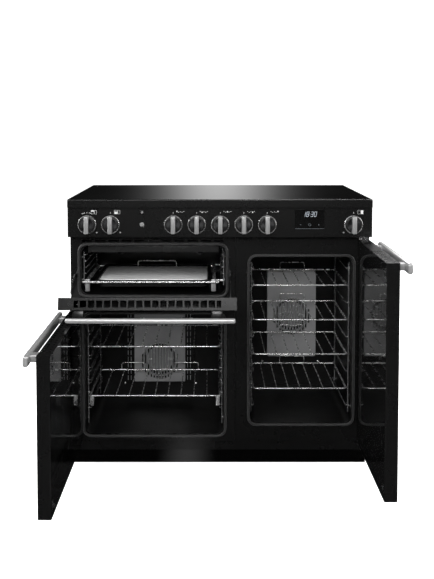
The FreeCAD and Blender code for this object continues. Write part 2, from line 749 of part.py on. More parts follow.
def ladder(name, wall, inward, low, high, levels, extra):
    x = f"({wall} {inward} ladderIn)"
    rung = f"({wall} {inward} shelfIn)"
    start = f"({behindY} + ladderFront)"
    pieces = []
    for post, y in (("front", start), ("rear", f"({start} + ladderLong)")):
        pieces.append(rod(f"{name}_{post}", "wireThick", "z", (x, y, low), f"{high} - ({low})", 8))
        for row, z in (("low", f"{low} + ladderEnd"), ("high", f"{high} - ladderEnd")):
            peg = wall if inward == "+" else x
            pieces.append(rod(f"{name}_{post}_{row}_peg", "wireThick", "x", (peg, y, z), "ladderIn", 8))
    for n, z in enumerate(levels):
        pieces.append(rod(f"{name}_rung_{n}", "wireThin", "y", (rung, start, z), "ladderLong", 8))
        for row, y in (("front", start), ("rear", f"({start} + ladderLong)")):
            pieces.append(rod(f"{name}_rung_{n}_{row}", "wireThin", "x", (x if inward == "+" else rung, y, z),
                              "shelfIn - ladderIn", 8))
    return join(name, *pieces, *extra)


def shelfLadders():
    made = []
    under = "(wireThick + wireThin + restPlay)"
    main = [f"mainShelfLower - {under} + mainRungPitch * {n - 1}" for n in range(int(value("mainRungCount")))]
    main += [f"{level} + guardUp" for level in main[:-1]]
    tall = [f"tallShelfLowest - {under} + tallShelfPitch / 2 * {n - 1}" for n in range(int(value("tallRungCount")))]
    grill = [f"grillLow + ladderEnd + grillRungPitch * {n}" for n in range(1, int(value("grillRungCount")))]
    for which, levels in (("main", main), ("tall", tall), ("grill", grill)):
        left, right, low, high, corner = cavities[which]
        for hand, wall, inward in (("left", left, "+"), ("right", right, "-")):
            name = f"{which}_ladder_{hand}"
            extra = grillRunner(name, wall, inward) if which == "grill" else []
            made.append(ladder(name, wall, inward, f"({low} + ladderEnd)", f"({high} - ladderEnd)", levels, extra))
    keep("shelf_ladders", *made)


def shelf(node, x, z, wide, bars, step, stops, plates):
    pieces = []
    front = f"({behindY} + shelfFront)"
    back = f"({front} + shelfDeep)"
    left = f"({x} - {wide} / 2)"
    for end, y in (("front", front), ("rear", back)):
        pieces.append(rod(f"{node}_{end}", "wireThick", "x", (f"{left} - wireThick", y, z),
                          f"{wide} + wireThick * 2", 8))
    for hand, side in (("left", left), ("right", f"{left} + {wide}")):
        pieces.append(rod(f"{node}_{hand}", "wireThick", "y", (side, front, z), "shelfDeep", 8))
    half = (int(value(bars)) - 1) / 2
    for n in range(int(value(bars))):
        pieces.append(rod(f"{node}_bar_{n}", "wireThin", "y", (f"{x} + {step} * {n - half}", front, z),
                          "shelfDeep", 6))
    for n in range(stops):
        middle = f"({x} + stopApart * {n - (stops - 1) / 2})"
        for hand in ("-", "+"):
            pieces.append(rod(f"{node}_stop_{n}_{'left' if hand == '-' else 'right'}", "wireThin", "z",
                              (f"{middle} {hand} stopWide / 2", back, z), "stopTall", 6))
        pieces.append(rod(f"{node}_stop_{n}_top", "wireThin", "x",
                          (f"{middle} - stopWide / 2 - wireThin", back, f"{z} + stopTall"),
                          "stopWide + wireThin * 2", 6))
    if plates:
        for hand, side in (("left", f"({left} + runnerPlateWide / 2)"),
                           ("right", f"({left} + {wide} - runnerPlateWide / 2)")):
            pieces.append(box(f"{node}_plate_{hand}", (f"{side} - runnerPlateWide / 2", f"{side} + runnerPlateWide / 2"),
                              (f"{front} - runnerPlateThick", front), (f"{z} - runnerPlateTall", f"{z}")))
    keep(node, join(node + "_wires", *pieces))


def shelves():
    middle = "((mainLeft + mainRight) / 2)"
    shelf("main_shelf_upper", middle, "mainShelfUpper", mainShelfWide, "mainShelfBars", "mainBarPitch", 2, False)
    shelf("main_shelf_lower", middle, "mainShelfLower", mainShelfWide, "mainShelfBars", "mainBarPitch", 2, True)
    middle = "((tallLeft + tallRight) / 2)"
    for n in range(4):
        shelf(f"tall_shelf_{n + 1}", middle, f"(tallShelfLowest + tallShelfPitch * {3 - n})", tallShelfWide,
              "tallShelfBars", "tallBarPitch", 1, False)


# ---- grill pan on its pull-out carriage ----

declare(
    panWide=372, panDeep=300, panTall=22, panLow=606, panCorner=24, panRim=9, panSheet=2, panFront=11, panX=-225,
    trivetWide=350, trivetDeep=270, trivetRise=9, trivetFoot=12, trivetSlot=8, trivetSlotPitch=24,
    trivetSlotCount=11, trivetSlotLong=190, tabWide=52, tabApart=150, tabTall=7,
    carriageX=-232, carriageWide=456, carriageBar=4, carriageRailIn=17, carriageRail=5,
    carriageRailTall=10, runnerWide=5, runnerTall=14, bracketWide=15, bracketTall=25,
)
panY = f"({behindY} + panFront)"
panTop = "(panLow + panTall)"


def grillPan():
    body = newBody("grill_pan", "panX", panY, "panLow")
    edges = ["-panWide / 2", "panWide / 2", "0", "panDeep"]
    outer = sketch(body, "XY")
    rounded(outer, *edges, "panCorner")
    pad(body, outer, "panTall")
    rim = sketch(body, "XY", "panTall - panSheet")
    rounded(rim, "-panWide / 2 - panRim", "panWide / 2 + panRim", "-panRim", "panDeep + panRim",
            "panCorner + panRim")
    pad(body, rim, "panSheet")
    inner = sketch(body, "XY", "panSheet")
    rounded(inner, "-panWide / 2 + panSheet", "panWide / 2 - panSheet", "panSheet", "panDeep - panSheet",
            "panCorner - panSheet")
    pocket(body, inner, "panTall - panSheet")
    keep("grill_pan", body)


def grillTrivet():
    body = newBody("grill_trivet", "panX", f"{panY} + (panDeep - trivetDeep) / 2", f"{panTop} + trivetRise")
    plate = sketch(body, "XY")
    rounded(plate, "-trivetWide / 2", "trivetWide / 2", "0", "trivetDeep", "panCorner / 2")
    pad(body, plate, "panSheet")
    slot = sketch(body, "XY")
    middle = "(-trivetSlotPitch * (trivetSlotCount - 1) / 2)"
    rectangle(slot, f"{middle} - trivetSlot / 2", f"{middle} + trivetSlot / 2",
              "(trivetDeep - trivetSlotLong) / 2", "(trivetDeep + trivetSlotLong) / 2")
    first = pocket(body, slot, "panSheet")
    pattern(body, first, "X", "trivetSlotPitch * (trivetSlotCount - 1)", "trivetSlotCount")
    drop = "(trivetRise + panTall - panSheet)"
    legs = sketch(body, "XY", f"-{drop}")
    for x in ("-(trivetWide / 2 - trivetFoot * 2)", "(trivetWide / 2 - trivetFoot * 2)"):
        for y in ("trivetFoot", "(trivetDeep - trivetFoot * 2)"):
            rectangle(legs, f"{x} - trivetFoot / 2", f"{x} + trivetFoot / 2", y, f"{y} + panSheet")
    pad(body, legs, drop)
    tabs = sketch(body, "XY", "panSheet")
    for hand in ("-", ""):
        for y in ("0", "(trivetDeep - panSheet)"):
            middle = f"{hand}(tabApart / 2)"
            rectangle(tabs, f"{middle} - tabWide / 2", f"{middle} + tabWide / 2", y, f"{y} + panSheet")
    pad(body, tabs, "tabTall")
    keep("grill_trivet", body)


railX = "(carriageWide / 2 - carriageRailIn)"
barZ = f"({panTop} - panSheet - carriageBar)"
barY = f"({panY} - panRim / 2)"


def grillCarriage():
    back = f"({panY} + panDeep + panRim / 2)"
    pieces = [rod("carriage_front", "carriageBar", "x", ("carriageX - carriageWide / 2", barY, barZ),
                  "carriageWide", 8),
              rod("carriage_rear", "carriageBar", "x", (f"carriageX - {railX}", back, barZ), f"{railX} * 2", 8)]
    for name, hand in (("left", "-"), ("right", "+")):
        x = f"(carriageX {hand} {railX})"
        pieces.append(box(f"carriage_{name}_rail", (f"{x} - carriageRail / 2", f"{x} + carriageRail / 2"),
                          (barY, f"{back} + carriageBar"),
                          (f"{barZ} - carriageRailTall / 2", f"{barZ} + carriageRailTall / 2")))
    keep("grill_carriage", join("carriage", *pieces))


def grillRunner(name, wall, inward):
    # the fixed runner beside the carriage's rail, its links to the ladder and its front bracket
    out = "-" if inward == "+" else "+"
    post = f"({wall} {inward} ladderIn)"
    near = f"(carriageX {out} ({railX} + carriageRail / 2 + restPlay))"
    far = f"({near} {out} runnerWide)"
    low, high = (far, near) if out == "-" else (near, far)
    start = f"({behindY} + ladderFront)"
    front = f"({barY} + carriageBar + restPlay)"
    under = f"({barZ} - runnerTall / 2)"
    edge = f"({far} {inward} bracketWide)"
    left, right = (far, edge) if inward == "+" else (edge, far)
    pieces = [
        box(name + "_runner", (low, high), (front, f"{start} + ladderLong + wireThick"),
            (under, f"{barZ} + runnerTall / 2")),
        box(name + "_bracket", (left, right), (front, f"{front} + panSheet"), (f"{under} - bracketTall", under)),
    ]
    for row, y in (("front", start), ("rear", f"({start} + ladderLong)")):
        ends = (post, f"({far}) - ({post})") if inward == "+" else (far, f"({post}) - ({far})")
        pieces.append(rod(f"{name}_{row}_link", "wireThick", "x", (ends[0], y, barZ), ends[1], 8))
    return pieces


# ---- doors ----

declare(
    doorOpen=90, grillOpen=77, doorWall=2, doorCorner=4, innerThick=4, pinRadius=4, pinPlay=0.05, pinDeep=16,
    pinBoss=11, hingePlay=0.5, hingeTab=2, hingeLeaf=28, hingeLeafTall=22, hingeReach=9,
    windowIn=72, windowLow=63, windowHigh=318, windowCorner=10, windowLap=16,
    handleTall=31, handleThick=16, handleOff=24, handleDrop=18.5, handleIn=13, handleRound=7,
    stemWide=35, stemTall=20, stemIn=48,
    slitFrom=48, slitLong=22, slitWide=3, slitPitch=12.6, louverOut=9, louverWide=17, louverTall=7, louverPitch=23,
    peepIn=7, peepWide=6, peepPitch=23,
    gateWide=19.6, gateTall=21.7, gatePitch=24.6, gateCount=17,
    catchWide=14, catchTall=22, catchProud=5, catchIn=16, catchUp=34,
)
halfDoor = "(doorThick / 2)"
slits = {
    "main": [("-louverOut", "louverWide", "louverTall", "louverPitch"), ("peepIn", "peepWide", "peepWide", "peepPitch")],
    "tall": [("0", "slitWide", "slitLong", "slitPitch")],
}


def hang(item, hinge, low):
    turned = {"left": (vector(0, 0, -1), "doorOpen"), "right": (vector(0, 0, 1), "doorOpen"),
              "foot": (vector(1, 0, 0), "grillOpen")}[hinge]
    item.Placement = FreeCAD.Placement(vector(), FreeCAD.Rotation(turned[0], value(turned[1])))
    item.setExpression("Placement.Rotation.Angle", bind(turned[1]))
    x = {"left": f"-({sideX} - {halfDoor})", "right": f"({sideX} - {halfDoor})",
         "foot": f"(-{sideX} + leftDoorWide / 2)"}[hinge]
    return place(item, x, pivotY, low)


def handleBar(node, hinge, low, left, right, top):
    body = newBody(node)
    bar = sketch(body, "YZ", f"{left} + handleIn")
    rounded(bar, f"-{halfDoor} - handleOff - handleThick", f"-{halfDoor} - handleOff",
            f"{top} - handleDrop - handleTall / 2", f"{top} - handleDrop + handleTall / 2", "handleRound")
    pad(body, bar, f"({right}) - ({left}) - handleIn * 2")
    stems = sketch(body, "XZ", halfDoor)
    for middle in (f"{left} + handleIn + stemIn", f"{right} - handleIn - stemIn"):
        rounded(stems, f"{middle} - stemWide / 2", f"{middle} + stemWide / 2",
                f"{top} - handleDrop - stemTall / 2", f"{top} - handleDrop + stemTall / 2", "handleRound / 2")
    pad(body, stems, "handleOff + handleThick / 2")
    keep(node, hang(body, hinge, low))


def sideDoor(which, hinge, wide, tall, low):
    if hinge == "left":
        left, right = f"-{halfDoor}", f"{wide} - {halfDoor}"
    else:
        left, right = f"-({wide} - {halfDoor})", halfDoor
    body = newBody(which + "_door_frame")
    outline = sketch(body, "XY")
    rounded(outline, left, right, f"-{halfDoor}", halfDoor, "doorCorner")
    pad(body, outline, tall)
    hollow = sketch(body, "XZ", f"-{halfDoor}")
    rectangle(hollow, f"{left} + doorWall", f"{right} - doorWall", "doorWall", f"{tall} - doorWall")
    pocket(body, hollow, "doorThick - doorWall")
    for lift in ("0", f"{tall} - doorWall - pinDeep"):
        boss = sketch(body, "XY", lift)
        circle(boss, "0", "0", "pinBoss")
        pad(body, boss, "pinDeep + doorWall")
        bore = sketch(body, "XY", lift)
        circle(bore, "0", "0", "pinRadius + pinPlay")
        pocket(body, bore, "pinDeep + doorWall")
    if which == "main":
        window = sketch(body, "XZ", f"{halfDoor} - doorWall")
        rounded(window, f"{left} + windowIn", f"{right} - windowIn", "windowLow", "windowHigh", "windowCorner")
        pocket(body, window, "doorWall")
    ends = (f"({left} + slitFrom)", f"({right} - slitFrom)")
    for middle, across, along, pitch in slits[which]:
        slit = sketch(body, "XY", f"{tall} - doorWall")
        rectangle(slit, f"{ends[0]} - {across} / 2", f"{ends[0]} + {across} / 2", f"{middle} - {along} / 2",
                  f"{middle} + {along} / 2")
        first = pocket(body, slit, "doorWall")
        pattern(body, first, "X", f"{ends[1]} - {ends[0]}", f"floor(({ends[1]} - {ends[0]}) / {pitch}) + 1")
    keep(which + "_door_frame", hang(body, hinge, low))
    inner = box(which + "_inner_pane", (f"{left} + doorWall", f"{right} - doorWall"),
                (f"{halfDoor} - innerThick", halfDoor), ("doorWall", f"{tall} - doorWall"))
    panes = [inner]
    if which == "main":
        panes.append(box("main_outer_pane", (f"{left} + windowIn - windowLap", f"{right} - windowIn + windowLap"),
                         (f"-{halfDoor} + doorWall", f"-{halfDoor} + doorWall + innerThick"),
                         ("windowLow - windowLap", "windowHigh + windowLap")))
    node = "main_door_panes" if which == "main" else "tall_door_inner"
    hang(keep(node, bundle(node + "_fitted", *panes)), hinge, low)
    handleBar(which + "_door_handle", hinge, low, left, right, tall)
    catches(which, hinge, low, left, right, tall)


def catches(which, hinge, low, left, right, tall):
    free = f"({right}) - catchIn" if hinge == "left" else f"({left}) + catchIn"
    made = []
    for row, z in (("low", "catchUp"), ("high", f"{tall} - catchUp")):
        leaf = box(f"{which}_catch_{row}_leaf", (f"{free} - catchWide / 2", f"{free} + catchWide / 2"),
                   (halfDoor, f"{halfDoor} + doorWall / 2"), (f"{z} - catchTall / 2", f"{z} + catchTall / 2"))
        roller = rod(f"{which}_catch_{row}_roller", "catchProud / 2", "z",
                     (free, f"{halfDoor} + catchProud / 2", f"{z} - catchTall / 4"), "catchTall / 2")
        made.append(join(f"{which}_catch_{row}", leaf, roller))
    group = keep(which + "_door_catches", *made)
    hang(group, hinge, low)


declare(
    armWide=4, armHalf=8, armNotch=8, armBossLong=24, armBoreEnd=4, armRelief=12, railRound=18.5, gateEnd=14,
    stayTail=11, stayTurn=101,
)


def grillDoor():
    half = "(leftDoorWide / 2)"
    top = f"(grillDoorTall - {halfDoor})"
    body = newBody("grill_door_frame")
    profile = sketch(body, "YZ", f"-{half}")
    rectangle(profile, f"-{halfDoor}", halfDoor, f"-{halfDoor}", top)
    slab = pad(body, profile, "leftDoorWide")
    edge = value(f"-{halfDoor}")
    ease(body, slab, "Fillet", "railRound", lambda b: b.YMax < edge + near and b.ZMax < edge + near)
    hollow = sketch(body, "XZ", f"-{halfDoor}")
    rectangle(hollow, f"-{half} + doorWall", f"{half} - doorWall", "0", f"{top} - doorWall")
    pocket(body, hollow, "doorThick - doorWall")
    for boss, bore, notch in (
        (f"-{half} + doorWall", f"-{half} + doorWall + armBoreEnd", f"-{half} + doorWall + armBossLong"),
        (f"{half} - doorWall - armBossLong", f"{half} - doorWall - armBossLong",
         f"{half} - doorWall - armBossLong - armNotch"),
    ):
        lug = sketch(body, "YZ", boss)
        circle(lug, "0", "0", "pinBoss")
        pad(body, lug, "armBossLong")
        hole = sketch(body, "YZ", bore)
        circle(hole, "0", "0", "pinRadius + pinPlay")
        pocket(body, hole, "armBossLong - armBoreEnd")
        relief = sketch(body, "YZ", notch)
        rectangle(relief, "-armRelief", halfDoor, f"-{halfDoor}", "armRelief")
        pocket(body, relief, "armNotch")
    gate = sketch(body, "XY", f"{top} - doorWall")
    row = "(gatePitch * (gateCount - 1))"
    rectangle(gate, f"-{row} / 2 - gateWide / 2", f"-{row} / 2 + gateWide / 2", "-gateTall / 2", "gateTall / 2")
    first = pocket(body, gate, "doorWall")
    pattern(body, first, "X", row, "gateCount")
    ends = sketch(body, "XY", f"{top} - doorWall")
    rib = "(gatePitch - gateWide)"
    for start in (f"({row} / 2 + gateWide / 2 + {rib})", f"(-{row} / 2 - gateWide / 2 - {rib} - gateEnd)"):
        rectangle(ends, start, f"{start} + gateEnd", "-gateTall / 2", "gateTall / 2")
    body.Tip = pocket(body, ends, "doorWall")
    hang(keep("grill_door_frame", body), "foot", grillPivotZ)

    panel = box("grill_inner_plate", (f"-{half} + doorWall", f"{half} - doorWall"),
                (f"{halfDoor} - innerThick", halfDoor), ("0", f"{top} - doorWall"))
    gaps = [
        box(f"grill_inner_gap_{name}", (start, f"{start} + armNotch"), (f"{halfDoor} - innerThick", halfDoor),
            ("0", "armRelief"))
        for name, start in (("left", f"(-{half} + doorWall + armBossLong)"),
                            ("right", f"({half} - doorWall - armBossLong - armNotch)"))
    ]
    hang(keep("grill_door_inner", bundle("grill_inner_fitted", cut("grill_inner", panel, *gaps))), "foot", grillPivotZ)
    handleBar("grill_door_handle", "foot", grillPivotZ, f"-{half}", half, top)

    arms = []
    for name, x in (("left", "stayLeft"), ("right", "stayRight")):
        middle = f"({x} + {sideX} - {half})"
        arc = newBody(f"stay_{name}_arc")
        arc.Placement = FreeCAD.Placement(vector(), FreeCAD.Rotation(vector(-1, 0, 0), value("stayTail")))
        arc.setExpression("Placement.Rotation.Angle", bind("stayTail"))
        section = sketch(arc, "XY")
        rectangle(section, f"{middle} - stayThick / 2", f"{middle} + stayThick / 2", "stayRadius - stayWide / 2",
                  "stayRadius + stayWide / 2")
        turned = arc.newObject("PartDesign::Revolution", f"stay_{name}_turned")
        turned.Profile = section
        turned.ReferenceAxis = (section, ["H_Axis"])
        turned.setExpression("Angle", bind("stayTurn"))
        inside = box(f"stay_{name}_foot", (f"{middle} - stayThick", f"{middle} + stayThick"),
                     (f"-{halfDoor}", halfDoor), ("0", "stayRadius * 2"))
        arms.append(cut(f"stay_{name}", arc, inside))
    hang(keep("grill_door_stays", bundle("stays_fitted", *arms)), "foot", grillPivotZ)


def sideHinge(name, x, tabLow, leaf, pin):
    tab = box(name + "_tab", (f"{x} - hingeReach", f"{x} + hingeReach"), (f"{pivotY} - hingeReach", fasciaY),
              (tabLow, f"{tabLow} + hingeTab"))
    reach = "(hingePlay + pinDeep - doorWall / 2)"
    start = tabLow if pin == "up" else f"{tabLow} - {reach}"
    pieces = [tab, rod(name + "_pin", "pinRadius", "z", (x, pivotY, start), f"hingeTab + {reach}")]
    if leaf:
        pieces.append(box(name + "_leaf", (f"{x} - hingeLeaf / 2", f"{x} + hingeLeaf / 2"),
                          (f"{fasciaY} - hingeTab", fasciaY), leaf))
    return join(name, *pieces)


def hingeBrackets():
    made = []
    bottom = "(mainDoorLow - hingePlay - hingeTab)"
    leaf = (f"{bottom} - hingeLeafTall / 2", f"{bottom} + hingeLeafTall / 2")
    leftX, rightX = f"(-({sideX} - {halfDoor}))", f"({sideX} - {halfDoor})"
    made.append(sideHinge("hinge_main_low", leftX, bottom, leaf, "up"))
    made.append(sideHinge("hinge_main_high", leftX, "(mainDoorLow + mainDoorTall + hingePlay)", None, "down"))
    made.append(sideHinge("hinge_tall_low", rightX, bottom, leaf, "up"))
    high = "(mainDoorLow + tallDoorTall + hingePlay)"
    made.append(sideHinge("hinge_tall_high", rightX, high, (high, f"{high} + hingeLeafTall / 2"), "down"))
    for name, arm, out in (
        ("left", f"(-{sideX} + doorWall + armBossLong + (armNotch - armWide) / 2)", "-"),
        ("right", f"(-{sideX} + leftDoorWide - doorWall - armBossLong - (armNotch + armWide) / 2)", "+"),
    ):
        web = box(f"grill_arm_{name}_web", (arm, f"{arm} + armWide"), (pivotY, fasciaY),
                  (f"{grillPivotZ} - armHalf", f"{grillPivotZ} + armHalf"))
        eye = rod(f"grill_arm_{name}_eye", "armHalf", "x", (arm, pivotY, grillPivotZ), "armWide")
        long = "((armNotch - armWide) / 2 + armBossLong - armBoreEnd - hingePlay)"
        start = f"{arm} - {long}" if out == "-" else arm
        pin = rod(f"grill_arm_{name}_pin", "pinRadius", "x", (start, pivotY, grillPivotZ), f"{long} + armWide")
        made.append(join(f"grill_arm_{name}", web, eye, pin))
    keep("hinge_brackets", *made)


declare(inletX=250, inletZ=240, inletWide=120, inletTall=90, inletDeep=26, inletBore=9, inletNipple=12, inletLong=14)


def terminalCover():
    body = newBody("terminal_cover", "inletX", f"{rearY} - sheet20 + inletDeep", "inletZ")
    outer = sketch(body, "XZ")
    rounded(outer, "-inletWide / 2", "inletWide / 2", "-inletTall / 2", "inletTall / 2", "trimCorner")
    pad(body, outer, "inletDeep")
    nipple = sketch(body, "XY", "-inletTall / 2 - inletLong")
    circle(nipple, "0", "-inletDeep / 2", "inletNipple")
    pad(body, nipple, "inletLong + sheet20")
    inner = sketch(body, "XZ", "sheet20")
    rectangle(inner, "-inletWide / 2 + sheet20", "inletWide / 2 - sheet20", "-inletTall / 2 + sheet20",
              "inletTall / 2 - sheet20")
    pocket(body, inner, "inletDeep - sheet20")
    bore = sketch(body, "XY", "-inletTall / 2 - inletLong")
    circle(bore, "0", "-inletDeep / 2", "inletBore")
    pocket(body, bore, "inletLong + sheet20")
    keep("terminal_cover", body)


# ---- the whole cooker ----

plinth()
levellingFeet()
baseTray()
sidePanels()
backPanel()
hobTrim()
hobGlass()
hobTray()
hobElements()
controlPanel()
displayGlass()
indicatorLamps()
rotarySwitches()
knobBezels()
for name, x in knobs.items():
    knob(name, x)
lightButton()
fascias()
for which in cavities:
    cavity(which)
doorSeals()
keep("fan_covers", fanCover("main"), fanCover("tall"))
keep("fan_motors", fanMotor("main"), fanMotor("tall"))
keep("ring_elements", ringElement("main"), ringElement("tall"))
for which in fans:
    fan(which)
lampLenses()
grillElement()
shelfLadders()
shelves()
grillPan()
grillTrivet()
grillCarriage()
sideDoor("main", "left", "leftDoorWide", "mainDoorTall", "mainDoorLow")
sideDoor("tall", "right", "rightDoorWide", "tallDoorTall", "mainDoorLow")
grillDoor()
hingeBrackets()
terminalCover()
document.recompute()

failed = [item.Name for item in document.Objects if {"Invalid", "Error"} & set(item.State)]
for node, item in nodes.items():
    if item.Shape.isNull() or not item.Shape.isValid() or not item.Shape.Solids:
        failed.append(node)
if failed:
    raise SystemExit("failed: " + ", ".join(failed))
for node, item in nodes.items():
    item.Shape.exportStep(f"parts/{node}.step")
print(len(nodes), "sub-parts,", sum(len(item.Shape.Solids) for item in nodes.values()), "solids")
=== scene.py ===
import bpy
import bmesh
import json
import math
from mathutils import Matrix, Vector


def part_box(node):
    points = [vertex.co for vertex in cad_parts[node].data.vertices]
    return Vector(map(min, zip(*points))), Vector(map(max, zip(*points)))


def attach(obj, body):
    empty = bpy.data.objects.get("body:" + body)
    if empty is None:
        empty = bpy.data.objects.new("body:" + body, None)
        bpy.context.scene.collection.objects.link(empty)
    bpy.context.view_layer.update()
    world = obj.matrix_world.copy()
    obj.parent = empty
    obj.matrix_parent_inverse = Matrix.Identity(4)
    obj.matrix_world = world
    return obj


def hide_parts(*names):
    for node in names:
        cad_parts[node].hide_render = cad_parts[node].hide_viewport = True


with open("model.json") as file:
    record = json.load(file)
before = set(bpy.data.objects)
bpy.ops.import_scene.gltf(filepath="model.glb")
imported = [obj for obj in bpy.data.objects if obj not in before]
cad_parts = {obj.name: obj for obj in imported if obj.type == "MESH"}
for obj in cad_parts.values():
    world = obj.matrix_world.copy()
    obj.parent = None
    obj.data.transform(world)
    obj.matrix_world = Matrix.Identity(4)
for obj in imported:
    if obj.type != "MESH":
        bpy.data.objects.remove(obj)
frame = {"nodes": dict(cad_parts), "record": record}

# A range cooker with its three doors open. Metres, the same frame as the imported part.
print("frame loaded:", len(frame["nodes"]), "nodes")
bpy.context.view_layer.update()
nodes = frame["nodes"]


# materials: small helpers first

def newMaterial(name, **values):
    made = bpy.data.materials.new(name)
    made.use_nodes = True
    shader = made.node_tree.nodes["Principled BSDF"]
    for socket, value in values.items():
        shader.inputs[socket.replace("_", " ")].default_value = value
    return made


def addNode(material, kind, **values):
    made = material.node_tree.nodes.new("ShaderNode" + kind)
    for name, value in values.items():
        if hasattr(made, name):
            setattr(made, name, value)
        else:
            made.inputs[name.replace("_", " ")].default_value = value
    return made


def link(material, source, output, target, socket):
    material.node_tree.links.new(source.outputs[output], target.inputs[socket])


def shaderOf(material):
    return material.node_tree.nodes["Principled BSDF"]


def placed(material, scale=(1, 1, 1)):
    # object coordinates in metres, stretched by scale
    coords = addNode(material, "TexCoord")
    mapping = addNode(material, "Mapping")
    mapping.inputs["Scale"].default_value = scale
    link(material, coords, "Object", mapping, "Vector")
    return mapping


def noiseOn(material, scale, detail=4, stretch=(1, 1, 1)):
    noise = addNode(material, "TexNoise", Scale=scale, Detail=detail, Roughness=0.55)
    link(material, placed(material, stretch), "Vector", noise, "Vector")
    return noise


def rampTo(material, source, output, stops):
    ramp = addNode(material, "ValToRGB")
    elements = ramp.color_ramp.elements
    while len(elements) < len(stops):
        elements.new(0.5)
    for element, (place, colour) in zip(elements, stops):
        element.position = place
        element.color = (*colour, 1) if isinstance(colour, tuple) else (colour, colour, colour, 1)
    link(material, source, output, ramp, "Fac")
    return ramp


def bumpFrom(material, source, output, distance, strength):
    bump = addNode(material, "Bump", Strength=strength, Distance=distance)
    link(material, source, output, bump, "Height")
    link(material, bump, "Normal", shaderOf(material), "Normal")


def roughnessFrom(material, noise, low, high):
    spread = addNode(material, "MapRange", To_Min=low, To_Max=high)
    link(material, noise, "Fac", spread, "Value")
    link(material, spread, "Result", shaderOf(material), "Roughness")


# finishes of this cooker

def blackEnamel(name="blackEnamel", lift=1.0):
    # lift makes it paler: painted light, for a piece that stands in the shade
    made = newMaterial(name, Specular_IOR_Level=0.34, Coat_Weight=0.12, Coat_Roughness=0.12)
    grain = noiseOn(made, 420, 3)
    colour = rampTo(made, grain, "Fac", [(0.3, 0.003 * lift), (0.7, 0.0052 * lift)])
    link(made, colour, "Color", shaderOf(made), "Base Color")
    roughnessFrom(made, noiseOn(made, 9, 5), 0.23, 0.32)
    bumpFrom(made, grain, "Fac", 0.00004, 0.25)
    return made


def ovenEnamel():
    made = newMaterial("ovenEnamel", Specular_IOR_Level=0.22)
    flecks = addNode(made, "TexVoronoi", Scale=900)
    link(made, placed(made), "Vector", flecks, "Vector")
    colour = rampTo(made, flecks, "Distance", [(0.0, 0.03), (0.12, 0.005), (1.0, 0.0035)])
    link(made, colour, "Color", shaderOf(made), "Base Color")
    roughnessFrom(made, noiseOn(made, 14, 6), 0.22, 0.42)
    bumpFrom(made, noiseOn(made, 60, 5), "Fac", 0.0008, 0.35)
    return made


def greyEnamel():
    made = newMaterial("greyEnamel", Specular_IOR_Level=0.5)
    cloud = noiseOn(made, 7, 5)
    colour = rampTo(made, cloud, "Fac", [(0.25, (0.2, 0.2, 0.203)), (0.75, (0.3, 0.3, 0.303))])
    link(made, colour, "Color", shaderOf(made), "Base Color")
    roughnessFrom(made, noiseOn(made, 30, 5), 0.32, 0.5)
    bumpFrom(made, noiseOn(made, 500, 2), "Fac", 0.00005, 0.3)
    return made


def blackGlass():
    made = newMaterial("blackGlass", Specular_IOR_Level=0.5)
    cloud = noiseOn(made, 3, 4)
    colour = rampTo(made, cloud, "Fac", [(0.3, 0.003), (0.7, 0.005)])
    link(made, colour, "Color", shaderOf(made), "Base Color")
    roughnessFrom(made, noiseOn(made, 5, 6), 0.03, 0.06)
    return made


def glossBlack():
    # the plinth's polished face
    made = newMaterial("glossBlack", Specular_IOR_Level=0.6)
    colour = rampTo(made, noiseOn(made, 20, 3), "Fac", [(0.3, 0.0008), (0.7, 0.0012)])
    link(made, colour, "Color", shaderOf(made), "Base Color")
    roughnessFrom(made, noiseOn(made, 6, 4), 0.07, 0.12)
    return made


def trivetEnamel():
    made = newMaterial("trivetEnamel", Specular_IOR_Level=0.6, Metallic=0.15)
    cloud = noiseOn(made, 11, 6)
    colour = rampTo(made, cloud, "Fac", [(0.3, 0.78), (0.7, 0.95)])
    link(made, colour, "Color", shaderOf(made), "Base Color")
    roughnessFrom(made, noiseOn(made, 40, 5), 0.3, 0.45)
    bumpFrom(made, cloud, "Fac", 0.001, 0.3)
    return made


def darkChrome():
    # the spun faces of the knobs, also on the lamps' rings and the door's screws
    made = newMaterial("darkChrome", Metallic=1.0, Anisotropic=0.85)
    rings = addNode(made, "TexNoise", Scale=900, Detail=2)
    link(made, placed(made), "Vector", rings, "Vector")
    colour = rampTo(made, rings, "Fac", [(0.3, (0.035, 0.035, 0.036)), (0.7, (0.07, 0.07, 0.072))])
    link(made, colour, "Color", shaderOf(made), "Base Color")
    roughnessFrom(made, rings, 0.28, 0.36)
    tangent = addNode(made, "Tangent")
    tangent.direction_type, tangent.axis = "RADIAL", "Y"
    link(made, tangent, "Tangent", shaderOf(made), "Tangent")
    return made


def paintedHighlightEdge():
    # ground glass with a painted highlight, pale in places along the edge
    made = newMaterial("paintedHighlightEdge", Specular_IOR_Level=0.8)
    colour = rampTo(made, noiseOn(made, 8, 3, (1, 0.1, 0.1)), "Fac", [(0.35, 0.03), (0.65, 0.16)])
    link(made, colour, "Color", shaderOf(made), "Base Color")
    roughnessFrom(made, noiseOn(made, 60, 3), 0.2, 0.3)
    return made


def windowGlass():
    made = newMaterial("windowGlass", Base_Color=(0.95, 0.96, 0.96, 1), Transmission_Weight=1.0, IOR=1.45,
                       Roughness=0.02)
    bumpFrom(made, noiseOn(made, 12, 2), "Fac", 0.0003, 0.1)
    return made


def lampGlass():
    made = newMaterial("lampGlass", Transmission_Weight=0.6, IOR=1.45, Roughness=0.18)
    colour = rampTo(made, noiseOn(made, 90, 3), "Fac", [(0.3, 0.55), (0.7, 0.75)])
    link(made, colour, "Color", shaderOf(made), "Base Color")
    return made


